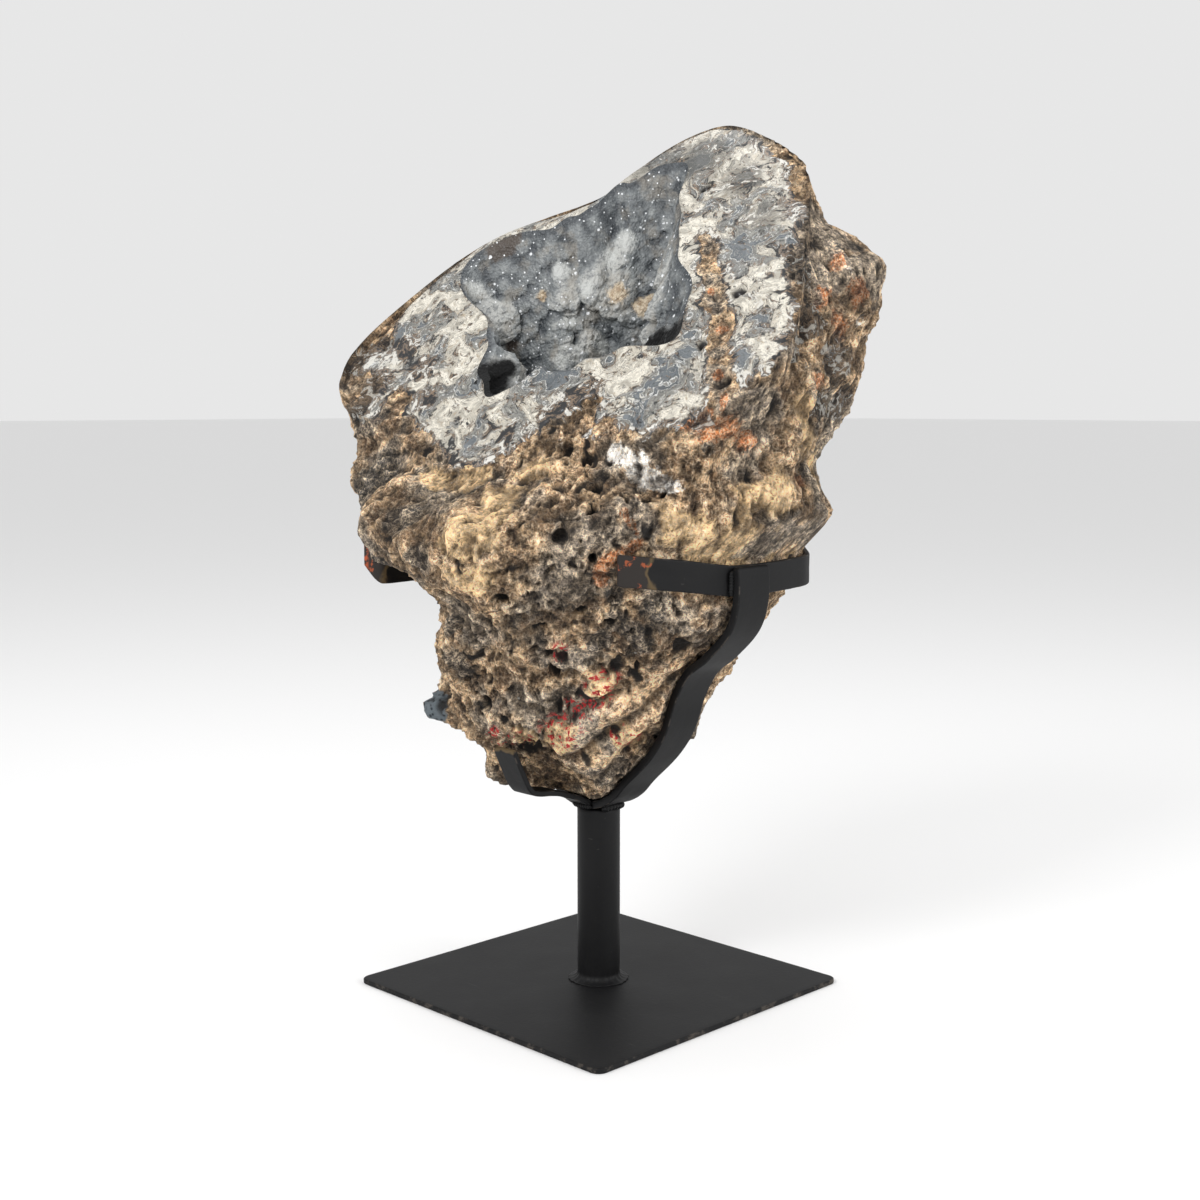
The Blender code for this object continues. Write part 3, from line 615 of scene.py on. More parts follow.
def make_stone(paint):
    """One closed skin from foot to rim to mouth to the hollow's foot, with its marks stored on the points."""
    angles = crowded_angles(COLUMNS)
    rise = np.linspace(0, 1, WALL_ROWS)
    a, s = np.meshgrid(angles, 0.2 * rise**2 + 0.8 * rise)
    wall = outer_wall(a, s)
    axis_points = np.zeros(wall.shape)
    axis_points[..., 2] = wall[..., 2]
    normals = ring_normals(wall, axis_points).reshape(-1, 3)
    flat = wall.reshape(-1, 3)
    fade = np.clip((1 - s) * 14, 0, 1).ravel()
    relief, pit = sponge(flat)
    ragged = shaken(flat, 6.0, 2.8, 76)
    holes = marks(ragged, HOLES)
    grooves = ease(marks(shaken(flat, 20.0, 6.0, 72), GROOVE_PLACES), 0.15, 0.6)
    smooth = ease(marks(shaken(flat, 12.0, 4.0, 73), SMOOTH), 0.2, 0.6)
    slant = 0.78 * flat[:, 2] - 0.62 * flat[:, 0] + 4 * wave_noise(flat, 26.0, 71)
    groove_relief = GROOVE_DEPTH * (np.abs(np.sin(slant * np.pi / GROOVE_PITCH)) ** 0.8 - 0.62)
    relief = relief * (1 - 0.62 * grooves) * (1 - 0.6 * smooth) + groove_relief * grooves
    pit = pit * (1 - 0.8 * smooth)
    lift = roughen(flat) * fade + relief * (0.35 + 0.65 * fade) - HOLE_DEPTH * ease(holes, 0.15, 0.75)
    lift += KNOB_RISE * marks(flat, KNOB)
    base_wall = flat + normals * lift[:, None]

    a_face, s_face = np.meshgrid(angles, np.linspace(0, 1, FACE_ROWS + 1)[1:])
    face = polished_face(a_face, s_face).reshape(-1, 3)
    face_share = s_face.ravel()
    wander = wave_noise(face, 22.0, 81) * 0.14 + wave_noise(face, 8.0, 82) * 0.09
    ragged_face = shaken(face, 7.0, 3.2, 85)
    bitten = ease(marks(ragged_face, FACE_MATRIX), 0.1, 0.8)
    polish = ease(face_share + wander, -0.02, 0.24) * (1 - bitten)
    face_relief, face_pit = sponge(face)
    brown = ribbon(shaken(ragged_face, 16.0, 4.0, 88), BROWN_SEAM, BROWN_SEAM_REACH)
    vugs = marks(ragged_face, FACE_HOLES)
    rough_share = np.clip(1.15 - 1.5 * polish + brown, 0, 1) * ease(1 - face_share, 0, 0.06)
    gentle = 1.5 * wave_noise(face, 44.0, 83) + 0.5 * wave_noise(face, 17.0, 84) - 0.6
    gentle *= np.clip((1 - face_share) * 8, 0, 1)
    drop = gentle + rough_share * (face_relief * 0.6 - 1.0) - VUG_DEPTH * vugs
    face = face + FACE_NORMAL * drop[:, None]

    a_in, s_in = np.meshgrid(angles, np.linspace(0, 1, LINING_ROWS + 1)[1:-1])
    lining = hollow_wall(a_in, s_in).reshape(-1, 3)

    points = np.vstack([base_wall, face, lining, [[3.0, 0.0, STONE_FOOT]], [HOLLOW_FOOT]])
    count_wall = len(flat)
    tail = np.zeros(len(lining) + 2)
    zero = np.zeros(count_wall)
    wall_pit = np.maximum(pit, ease(holes, 0.2, 0.7))
    # pit sets where the paint puts painted shade in pores, holes and vugs; height sets painted shade in low
    # spots and painted highlight on ridges
    values = {
        "polish": np.concatenate([zero, polish * (1 - ease(brown, 0.1, 0.8)), tail + 1]),
        "pit": np.concatenate([wall_pit, np.maximum(face_pit * rough_share, vugs), tail]),
        "height": np.concatenate([relief, face_relief * rough_share, tail]),
    }
    for key, places in RAGGED_MARKS.items():
        values[key] = marks(shaken(points, 14.0, 5.0, 91), places)
    values["rust"] = np.maximum(values["rust"], 1.3 * ribbon(points, RUST_FLOW, RUST_FLOW_REACH))
    values |= {key: marks(points, places) for key, places in PLAIN_MARKS.items()}
    points = turned(points, STONE_TURN)
    for _, stations, width, thick in stand_bars():
        points[:count_wall] = press_into(points[:count_wall], stations, width, thick, 2.5)
    low, high = [np.array(corner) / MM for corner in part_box("stone")]
    points = np.clip(points, low, high)

    skin = closed_tube(WALL_ROWS + FACE_ROWS + LINING_ROWS - 1, COLUMNS)
    return make_piece("geode_stone", points, *skin, paint, True, values)


# Crystal crust

def bump_lift(points):
    """Crystal knobs on the crust: domes of seeded places and sizes; the tallest dome at a point counts."""
    rng = np.random.default_rng(7)
    angles = rng.uniform(0, FULL_TURN, CRUST_BUMPS)
    shares = rng.uniform(0.08, 0.8, CRUST_BUMPS)
    sizes = rng.uniform(*BUMP_SIZES, CRUST_BUMPS)
    lift = np.zeros(len(points))
    for centre, size in zip(hollow_wall(angles, shares), sizes):
        lift = np.maximum(lift, 0.55 * size * dome(np.linalg.norm(points - centre, axis=1) / size))
    return lift


def crystal_points(points, size, seed):
    """Small crystals: a cone of its own height at each scattered point, 1 at its tip and 0 at its skirt."""
    gap, own = scattered_cells(points, size, seed)
    return np.clip(1 - gap, 0, 1) * (0.5 + 0.5 * own)


def make_crust(paint):
    """The crust: a back that follows the hollow's wall and a knobbly front of small crystals."""
    angles = np.linspace(0, FULL_TURN, CRUST_COLUMNS, endpoint=False)
    a, s = np.meshgrid(angles, np.linspace(0, 1, CRUST_BACK_ROWS + 1)[:-1])
    back = towards_heart(hollow_wall(a, s), np.full(a.shape, CRUST_BACK_GAP))
    a, s = np.meshgrid(angles, np.linspace(0.01, 1, CRUST_FRONT_ROWS + 1)[:-1])
    base = hollow_wall(a, s)
    flat = base.reshape(-1, 3)
    inward = np.clip(s * 6, 0, 1)
    small, _ = scattered_cells(flat, 9.0, 90)
    tiny, _ = scattered_cells(flat, 5.2, 103)
    knobs = 2.8 * dome(small / 0.75) + 1.2 * dome(tiny / 0.8)
    broad = bump_lift(flat)
    for x, y, z, reach in CRUST_TAN + CRUST_PALE:
        gap = np.linalg.norm(flat - np.array([x, y, z]), axis=1) / (DOME_SPREAD * reach)
        broad = np.maximum(broad, DOME_HEIGHT * reach * dome(gap))
    grit = 2.0 * crystal_points(flat, 3.4, 95) + 1.1 * crystal_points(flat, 2.0, 99)
    lift = (broad + knobs + grit + 0.9 * wave_noise(flat, 7.0, 5)).reshape(a.shape)
    thick = CRUST_EDGE + (CRUST_THICK - CRUST_EDGE - 1.5) * inward + lift * (0.3 + 0.7 * inward)
    front = towards_heart(base, thick)

    ends = np.array([HOLLOW_FOOT + [0, 0, CRUST_BACK_GAP], HOLLOW_FOOT + [0, 0, CRUST_THICK]])
    points = np.vstack([back[::-1].reshape(-1, 3), front.reshape(-1, 3), ends])
    values = {key: marks(points, places) for key, places in CRUST_MARKS.items()}
    values["height"] = np.concatenate([np.zeros(back.size // 3), broad / 9 + knobs / 5, [0, 0]])
    skin = closed_tube(CRUST_BACK_ROWS + CRUST_FRONT_ROWS, CRUST_COLUMNS)
    return make_piece("druse_lining", turned(points, STONE_TURN), *skin, paint, False, values)


# Stand

def corner_arcs(width, depth, radius, count):
    """The four quarter circles of a rounded rectangle, from its first corner round."""
    turn = np.linspace(0, np.pi / 2, count)
    arcs = []
    for k, (x, y) in enumerate(((1, 1), (-1, 1), (-1, -1), (1, -1))):
        middle = np.array([x * (width / 2 - radius), y * (depth / 2 - radius)])
        bend = turn + k * np.pi / 2
        arcs.append(middle + radius * np.stack([np.cos(bend), np.sin(bend)], axis=1))
    return arcs


def rounded_section(width, thick):
    """A bar's rounded rectangle, in width and thickness, and how near a corner each of its points is."""
    ring = np.vstack(corner_arcs(width, thick, BAR_ROUND, 5))
    edge = np.tile([0.4, 1, 1, 1, 0.4], 4)
    closed = np.vstack([ring, ring[:1]])
    along = np.r_[0, np.cumsum(np.linalg.norm(np.diff(closed, axis=0), axis=1))]
    extra = np.linspace(0, along[-1], 24, endpoint=False)
    where = np.unique(np.round(np.r_[along[:-1], extra], 3))
    section = np.stack([np.interp(where, along, closed[:, k]) for k in range(2)], axis=1)
    return section, np.interp(where, along, np.r_[edge, edge[:1]])


def wear_values(count, **known):
    """The steel paint's point values, 0 where a piece has none."""
    return {key: known.get(key, np.zeros(count)) for key in ("edge", "start", "finish")}


def make_bar(name, stations, width, thick, worn, paint):
    """A bent flat bar: a rounded section carried along its stations, shrunk at both ends to round them."""
    centres, tangents, widths, normals = stations
    section, edge = rounded_section(width, thick)
    count = len(centres)
    step = np.linalg.norm(centres[1] - centres[0])
    from_end = np.minimum(np.arange(count), np.arange(count)[::-1]) * step
    shrink = BAR_ROUND * (1 - dome(np.clip(1 - from_end / BAR_ROUND, 0, 1)))
    across = 1 - 2 * shrink / width
    through = 1 - 2 * shrink / thick
    points = (
        centres[:, None]
        + widths[:, None] * (section[:, 0] * across[:, None])[..., None]
        + normals[:, None] * (section[:, 1] * through[:, None])[..., None]
    ).reshape(-1, 3)
    sway = 0.16 * wave_noise(points, 14.0, 11) + 0.08 * wave_noise(points, 4.0, 12) - 0.1
    points += unit(points - np.repeat(centres, len(section), axis=0)) * sway[:, None]
    run = np.repeat(np.arange(count) * step, len(section))
    values = {
        "edge": np.r_[np.tile(edge, count), 1, 1],
        "start": worn[0] * np.r_[np.exp(-run / 20), 1, 0],
        "finish": worn[1] * np.r_[np.exp(-(run[-1] - run) / 16), 0, 1],
    }
    points = np.vstack([points, centres[:1], centres[-1:]])
    quads, caps = closed_tube(count, len(section))
    if np.sum(np.cross(widths[0], normals[0]) * tangents[0]) <= 0:
        quads, caps = quads[:, ::-1], caps[:, ::-1]
    return make_piece(name, points, quads, caps, paint, True, values)


def make_plate(paint):
    """The plate: a rounded square ring carried over its softened edge, and level rings to the middle."""
    half = PLATE_SIDE / 2
    arcs = corner_arcs(PLATE_SIDE, PLATE_SIDE, PLATE_CORNER, 9)
    sides = np.linspace(0, 1, 26)[1:-1, None]
    ring = np.vstack([
        part for arc, following in zip(arcs, arcs[1:] + arcs[:1])
        for part in (arc, arc[-1] + (following[0] - arc[-1]) * sides)
    ])
    bend = np.linspace(0, np.pi / 2, 6)
    rising = list(zip(PLATE_ROUND * (1 - np.sin(bend)), PLATE_ROUND * (1 - np.cos(bend))))
    inner = np.linspace(4, half - 3, 22)
    levels = [(i, 0.0) for i in inner[::-1]] + rising
    levels += [(i, PLATE_THICK - z) for i, z in rising[::-1]] + [(i, PLATE_THICK) for i in inner]
    points = np.vstack([np.c_[ring * (1 - i / half), np.full(len(ring), z)] for i, z in levels])
    edge = np.concatenate([np.full(len(ring), np.exp(-max(i - 0.4, 0) / 0.7)) for i, z in levels])
    top = points[:, 2] > PLATE_THICK / 2
    points[:, 2] -= np.where(top, 0.12 * (1 + wave_noise(points, 30.0, 15)), 0)
    points = np.vstack([points, [[0, 0, 0]], [[0, 0, PLATE_THICK - 0.1]]])
    values = wear_values(len(points), edge=np.r_[edge, 0, 0])
    return make_piece("plate", points, *closed_tube(len(levels), len(ring)), paint, True, values)


def make_post(paint):
    """The post: a turned profile with a lumpy weld fillet at its foot, closed at both ends."""
    foot = PLATE_THICK + 0.02
    curve = np.linspace(0, np.pi / 2, 12)
    fillet_r = POST_RADIUS + WELD_REACH * (1 - np.sin(curve))
    fillet_z = foot + 0.5 + (WELD_RISE - 0.2) * (1 - np.cos(curve))
    shaft_z = np.linspace(foot + WELD_RISE + 1, POST_TOP - 1, SHAFT_ROWS)
    shaft_r = np.full(SHAFT_ROWS, POST_RADIUS)
    radii = np.r_[2.0, POST_RADIUS + WELD_REACH, fillet_r, shaft_r, POST_RADIUS - 0.8, 2.0]
    heights = np.r_[foot, foot, fillet_z, shaft_z, POST_TOP, POST_TOP]
    turn = np.linspace(0, FULL_TURN, POST_COLUMNS, endpoint=False)
    r, t = np.meshgrid(radii, turn, indexing="ij")
    z = np.repeat(heights[:, None], POST_COLUMNS, axis=1)
    points = np.stack([r * np.cos(t), r * np.sin(t), z], axis=-1).reshape(-1, 3)
    near_weld = np.exp(-((points[:, 2] - foot) / 5) ** 2) * (np.hypot(points[:, 0], points[:, 1]) > 5)
    ripple = 0.35 * np.sin(np.tile(turn, len(radii)) * 22) + 0.5 * wave_noise(points, 5.0, 16)
    points += unit(points * np.array([1, 1, 0])) * (near_weld * (ripple - 0.4))[:, None]
    points = np.vstack([points, [[0, 0, foot]], [[0, 0, POST_TOP]]])
    values = wear_values(len(points), edge=np.r_[near_weld * 0.5, 0, 0])
    return make_piece("round_post", points, *closed_tube(len(radii), POST_COLUMNS), paint, True, values)


def make_bead(name, path, radius, paint):
    """A weld bead: a round section along a path, swelling and thinning in a wave, closed at both ends."""
    centres = smooth_path(path, BEAD_ROWS)
    tangents = unit(np.gradient(centres, axis=0))
    side = unit(np.cross(tangents, np.array([0.31, 0.42, 0.85])))
    over = np.cross(tangents, side)
    share = np.linspace(0, 1, BEAD_ROWS)
    swell = radius * np.sqrt(np.clip(1 - (2 * share - 1) ** 8, 0.02, 1)) * (1 + 0.14 * np.sin(share * 50))
    turn = np.linspace(0, FULL_TURN, BEAD_COLUMNS, endpoint=False)
    ring = side[:, None] * np.cos(turn)[None, :, None] + over[:, None] * np.sin(turn)[None, :, None]
    points = (centres[:, None] + ring * swell[:, None, None]).reshape(-1, 3)
    points += 0.3 * wave_vector(points, 3.0, 17)
    points = np.vstack([points, centres[:1], centres[-1:]])
    skin = closed_tube(BEAD_ROWS, BEAD_COLUMNS)
    return make_piece(name, points, *skin, paint, True, wear_values(len(points)))


# Shader maths

class Signal:
    """A shader socket. Python's operators on it add Math nodes."""

    def __init__(self, paint, socket):
        self.paint = paint
        self.socket = socket

    def math(self, operation, other=0.0):
        return self.paint.node("ShaderNodeMath", {"operation": operation}, {0: self, 1: other})[0]

    def __add__(self, other):
        return self.math("ADD", other)

    __radd__ = __add__

    def __sub__(self, other):
        return self.math("SUBTRACT", other)

    def __rsub__(self, other):
        return self.paint.node("ShaderNodeMath", {"operation": "SUBTRACT"}, {0: other, 1: self})[0]

    def __mul__(self, other):
        return self.math("MULTIPLY", other)

    __rmul__ = __mul__

    def most(self, other):
        return self.math("MAXIMUM", other)

    def step(self, low, high):
        """0 below low, 1 above high, smooth between; low above high turns it round."""
        settings = {"interpolation_type": "SMOOTHSTEP"}
        sockets = {"Value": self, "From Min": low, "From Max": high}
        return self.paint.node("ShaderNodeMapRange", settings, sockets)[0]


class Paint:
    """One procedural material and the nodes it is made of."""

    def __init__(self, name):
        self.material = bpy.data.materials.new(name)
        self.material.use_nodes = True
        self.tree = self.material.node_tree
        self.shader = self.tree.nodes["Principled BSDF"]
        self.place = self.node("ShaderNodeTexCoord")["Object"]

    def feed(self, socket, value):
        if isinstance(value, Signal):
            self.tree.links.new(value.socket, socket)
        else:
            socket.default_value = value

    def node(self, kind, settings=None, sockets=None):
        """A node of a type, with its settings first and then its sockets' values or links."""
        made = self.tree.nodes.new(kind)
        for key, value in (settings or {}).items():
            setattr(made, key, value)
        for key, value in (sockets or {}).items():
            self.feed(made.inputs[key], value)
        return Outputs(self, made)

    def noise(self, size, detail=4.0, roughness=0.55, distortion=0.0, place=None):
        """Noise whose largest forms are this many millimetres across."""
        sockets = {
            "Vector": place or self.place, "Scale": 1 / (size * MM), "Detail": detail,
            "Roughness": roughness, "Distortion": distortion,
        }
        return self.node("ShaderNodeTexNoise", None, sockets)["Fac"]

    def cells(self, size, feature="F1", output="Distance", place=None):
        """Voronoi cells of this many millimetres."""
        sockets = {"Vector": place or self.place, "Scale": 1 / (size * MM)}
        return self.node("ShaderNodeTexVoronoi", {"feature": feature}, sockets)[output]

    def chance(self, size, channel):
        """A random number for each Voronoi cell of this size: one channel of the cell's colour."""
        colour = self.cells(size, "F1", "Color")
        return self.node("ShaderNodeSeparateColor", None, {"Color": colour})[channel]

    def bent(self, size, amount):
        """Object coordinates pushed about by coloured noise, both in millimetres."""
        sockets = {"Vector": self.place, "Scale": 1 / (size * MM), "Detail": 3.0}
        colour = self.node("ShaderNodeTexNoise", None, sockets)["Color"]
        centred = self.vector("SUBTRACT", colour, (0.5, 0.5, 0.5))
        sockets = {0: centred, "Scale": amount * MM * 2}
        shift = self.node("ShaderNodeVectorMath", {"operation": "SCALE"}, sockets)[0]
        return self.vector("ADD", self.place, shift)

    def vector(self, operation, first, second):
        return self.node("ShaderNodeVectorMath", {"operation": operation}, {0: first, 1: second})[0]

    def value(self, key):
        """A named point value of the piece."""
        return self.node("ShaderNodeAttribute", {"attribute_name": key})["Fac"]

    def stain(self, key, noise, weight, low, high):
        """A named mark with an edge that noise makes ragged, from 0 to 1."""
        return (self.value(key) + (noise - 0.5) * weight).step(low, high)

    def layers(self, base, coats):
        """Colours laid over a base one after another, each with its factor and, if not MIX, its mode."""
        for coat in coats:
            base = self.blend(base, *coat)
        return base

    def blend(self, first, second, factor, mode="MIX"):
        """Two colours mixed by a factor."""
        settings = {"data_type": "RGBA", "blend_type": mode, "clamp_factor": True}
        return self.node("ShaderNodeMix", settings, {0: factor, 6: colour4(first), 7: colour4(second)})[2]

    def bump(self, height, distance, strength):
        """A Bump node: height 0 to 1 over a distance in millimetres."""
        sockets = {"Height": height, "Distance": distance * MM, "Strength": strength}
        return self.node("ShaderNodeBump", None, sockets)["Normal"]

    def finish(self, **sockets):
        for key, value in sockets.items():
            self.feed(self.shader.inputs[key.replace("_", " ")], value)
        return self.material


class Outputs:
    """A node's outputs, picked by name or number."""

    def __init__(self, paint, made):
        self.paint = paint
        self.made = made

    def __getitem__(self, key):
        return Signal(self.paint, self.made.outputs[key])


def colour4(colour):
    """A colour with its alpha, or a link left as it is."""
    if isinstance(colour, Signal):
        return colour
    return (*colour, 1.0)


def along_level(field, level, width):
    """A thin line where a field passes one level."""
    return field.step(level - width, level) * field.step(level + width, level)


# Finishes

# Fine lines round the agate's zones: level, half-width, colour, strength
ZONE_LINES = (
    (0.455, 0.007, (0.05, 0.05, 0.047), 0.8), (0.508, 0.010, (0.014, 0.015, 0.015), 1.0),
    (0.530, 0.007, (0.66, 0.65, 0.62), 0.6), (0.562, 0.008, (0.020, 0.021, 0.021), 0.9),
    (0.600, 0.008, (0.74, 0.75, 0.74), 0.8), (0.620, 0.007, (0.018, 0.022, 0.026), 0.9),
)


def stone_paint():
    """Porous brown and grey matrix, and polished cream and blue-grey agate where the polish value is high."""
    p = Paint("agate")
    polish, pit, height = p.value("polish"), p.value("pit"), p.value("height")
    bent = p.bent(20, 9)

    broad = p.noise(52, 5, 0.6, 0, bent)
    middle = p.noise(12, 6, 0.66, 0.2, bent)
    fine = p.noise(4.2, 7, 0.72, 0.3)
    net = p.cells(2.6, "DISTANCE_TO_EDGE", "Distance", p.bent(5, 3.4))
    threads = net.step(0.15, 0.03) * fine.step(0.40, 0.52)
    # Pore cells: they dip in the bump and carry painted shade in the colour
    pores = net.step(0.14, 0.28) * fine.step(0.54, 0.42)
    golden = p.stain("cream", middle, 1.3, 0.20, 0.46)
    speckle = p.noise(5.5, 7, 0.82, 0.3)
    flecks = p.blend((0.25, 0.235, 0.22), (2.65, 2.60, 2.52), speckle.step(0.37, 0.66))
    # Painted shade in the matrix's low spots and painted highlight on its ridges, a colour multiplier from
    # the relief height
    cavity_shade_and_ridge_light = p.blend((0.32, 0.30, 0.28), (1.45, 1.44, 1.43), height.step(-2.6, 1.0))
    red_spots = p.noise(4.0, 4, 0.65, 0.6).step(0.535, 0.585)
    crystal = p.blend((0.030, 0.040, 0.050), (0.19, 0.225, 0.25), p.cells(3.0).step(0.15, 0.5))
    brown = p.blend((0.25, 0.160, 0.092), (0.49, 0.34, 0.20), middle.step(0.42, 0.58))
    matrix = p.layers(brown, [
        ((0.215, 0.195, 0.17), broad.step(0.48, 0.57) * 0.8),
        ((0.82, 0.58, 0.315), golden * 0.95),
        ((0.46, 0.165, 0.055), p.stain("rust", fine, 1.6, 0.28, 0.50) * 0.85),
        ((0.075, 0.071, 0.068), p.stain("dark", middle, 1.6, 0.34, 0.60) * 0.85),
        ((0.82, 0.82, 0.81), p.stain("white", fine, 1.8, 0.36, 0.56)),
        ((0.74, 0.59, 0.41), fine.step(0.56, 0.64) * 0.6),
        ((0.74, 0.61, 0.45), threads * 0.5),
        (flecks, 1 - golden * 0.4, "MULTIPLY"),
        # painted shade in low spots, painted highlight on ridges
        (cavity_shade_and_ridge_light, 1.0, "MULTIPLY"),
        ((0.66, 0.045, 0.045), p.value("red").step(0.15, 0.5) * red_spots),
        # painted shade in the pores
        ((0.026, 0.019, 0.014), pores * 0.65),
        (crystal, p.stain("knob", fine, 0.6, 0.25, 0.4)),
        # painted shade in the pits and holes
        ((0.010, 0.008, 0.007), pit.step(0.14, 0.6) * 0.95),
    ])

    swirl = p.bent(24, 14)
    tight = p.noise(7, 6, 0.7, 0.6, swirl)
    zones = p.noise(28, 6, 0.58, 0.9, swirl) + p.value("blue") * 0.15 - p.value("pale") * 0.10
    milk = p.noise(8, 6, 0.68, 0.6, swirl)
    ragged = polish + (tight - 0.5) * 1.8
    marble = p.noise(9, 7, 0.72, 0.9, swirl)
    cut = p.layers(p.blend((0.010, 0.010, 0.011), (0.24, 0.165, 0.105), marble.step(0.475, 0.492)), [
        ((0.075, 0.073, 0.070), marble.step(0.510, 0.520)),
        ((0.58, 0.56, 0.51), marble.step(0.548, 0.560)),
        ((0.012, 0.012, 0.012), along_level(marble, 0.542, 0.014)),
    ])
    moss = zones.step(0.488, 0.502) * zones.step(0.545, 0.530) * milk.step(0.46, 0.52)
    mottled = p.stain("mottle", milk, 1.4, 0.22, 0.32)

    cream = p.blend((0.55, 0.505, 0.42), (0.37, 0.345, 0.29), milk.step(0.42, 0.58))
    grey = p.blend((0.25, 0.245, 0.22), (0.135, 0.135, 0.125), milk.step(0.42, 0.58))
    blue = p.blend((0.15, 0.168, 0.18), (0.070, 0.082, 0.092), milk.step(0.40, 0.58))
    ripples = (zones * 46.0).math("FRACT")
    eyes = p.cells(8.5, "F1", "Distance", p.bent(9, 4))
    rings = (eyes * 6.0).math("FRACT").step(0.40, 0.20)
    eye = p.blend((0.58, 0.56, 0.50), (0.055, 0.058, 0.058), rings)
    # Grey-brown tint and painted shade over the top of the face
    grey_tint_and_shade = p.stain("grey_tint_and_shade", milk, 0.9, 0.05, 0.60)
    agate = p.layers(cream, [
        ((0.72, 0.68, 0.59), zones.step(0.470, 0.445) * milk.step(0.60, 0.44)),
        (grey, zones.step(0.512, 0.522)),
        (blue, zones.step(0.606, 0.614)),
        ((0.33, 0.255, 0.165), tight.step(0.57, 0.66) * zones.step(0.57, 0.50) * 0.7),
        *[(shade, along_level(zones, level, width) * depth) for level, width, shade, depth in ZONE_LINES],
        ((0.035, 0.035, 0.034), along_level(milk, 0.435, 0.018) * tight.step(0.42, 0.50) * 0.9),
        ((0.66, 0.64, 0.60), along_level(milk, 0.565, 0.012) * tight.step(0.44, 0.52) * 0.45),
        ((0.10, 0.105, 0.105), ripples.step(0.72, 0.88) * tight.step(0.46, 0.54) * 0.35),
        (eye, p.stain("eyes", milk, 1.2, 0.35, 0.45) * eyes.step(0.55, 0.50) * 0.85),
        # grey-brown tint, then painted shade darkening the top of the face
        ((0.20, 0.185, 0.155), grey_tint_and_shade * 0.35),
        ((0.42, 0.42, 0.41), grey_tint_and_shade * 0.75, "MULTIPLY"),
        (cut, moss),
        (cut, ragged.step(0.94, 0.80).most(mottled)),
        # painted shade in the face's pits and vugs
        ((0.015, 0.013, 0.012), pit.step(0.15, 0.55)),
    ])

    matrix = p.blend(matrix, cut, mottled * 0.85)
    on_face = ragged.step(0.44, 0.50)
    colour = p.blend(matrix, agate, on_face)
    shine = on_face * (1 - marble.step(0.47, 0.42) * 0.4)
    rough = 0.92 - shine * 0.60
    lumps = p.noise(3.0, 8, 0.78, 0.3)
    surface = (lumps * 0.9 + threads * 0.2 - pores * 0.2 + 0.2) * (1 - on_face * 0.97)
    normal = p.bump(surface, 3.4, 1.0)
    return p.finish(Base_Color=colour, Roughness=rough, Normal=normal)


def druse_paint():
    """Slate-grey crystals: dark joints, paler knobs, tan and white knobs, painted shade in and round the
    recesses, and small painted glints.
    """
    p = Paint("druse")
    height = p.value("height")
    tone = p.noise(26, 4, 0.6)
    fine = p.noise(3.0, 5, 0.65)
    joints = p.cells(5.5, "DISTANCE_TO_EDGE", "Distance", p.bent(6, 3)).step(0.13, 0.02)
    tan = p.blend((0.36, 0.25, 0.145), (0.66, 0.54, 0.38), fine.step(0.42, 0.60))
    # Painted shade deep in the recesses
    deep = p.stain("deep", fine, 1.3, 0.14, 0.58)
    # Painted glints: small and larger white dots for light caught by crystal faces, left out in the recesses
    glint_dots = p.cells(2.6).step(0.26, 0.14) * p.chance(2.6, "Red").step(0.66, 0.72)
    glints = p.cells(5.5).step(0.22, 0.14) * p.chance(5.5, "Green").step(0.72, 0.78)
    painted_glints = glint_dots.most(glints) * (1 - p.value("deep").step(0.1, 0.4))
    slate = p.blend((0.036, 0.043, 0.050), (0.22, 0.236, 0.240), height.step(0.1, 0.9))
    colour = p.layers(slate, [
        ((0.50, 0.50, 0.475), height.step(0.55, 1.2) * tone.step(0.40, 0.54) * 0.85),
        ((0.095, 0.105, 0.115), fine.step(0.54, 0.38) * 0.6),
        ((0.40, 0.42, 0.42), fine.step(0.56, 0.70) * 0.45),
        ((0.27, 0.235, 0.185), p.noise(17, 4, 0.6).step(0.50, 0.66) * 0.45),
        ((0.018, 0.022, 0.027), joints * height.step(0.9, 0.2) * 0.5),
        (tan, p.stain("tan", fine, 1.1, 0.16, 0.60) * 0.85),
        ((0.53, 0.54, 0.52), p.stain("pale", fine, 1.0, 0.20, 0.80) * 0.8),
        ((0.055, 0.040, 0.030), p.stain("brown", fine, 0.8, 0.25, 0.55) * 0.9),
        # painted shade round the recesses
        ((0.14, 0.145, 0.15), p.stain("deep", fine, 0.3, 0.0, 0.42) * 0.95, "MULTIPLY"),
        # near-black painted shade inside the recesses
        ((0.002, 0.002, 0.0022), deep),
        # painted glints
        ((0.86, 0.88, 0.90), painted_glints * 0.85),
    ])
    rough = 0.42 - painted_glints * 0.25 + deep * 0.55
    facets = p.cells(1.7, "F1", "Distance")
    normal = p.bump(facets + p.noise(1.3, 4, 0.6) * 0.5, 0.9, 0.7)
    return p.finish(Base_Color=colour, Roughness=rough, Normal=normal)


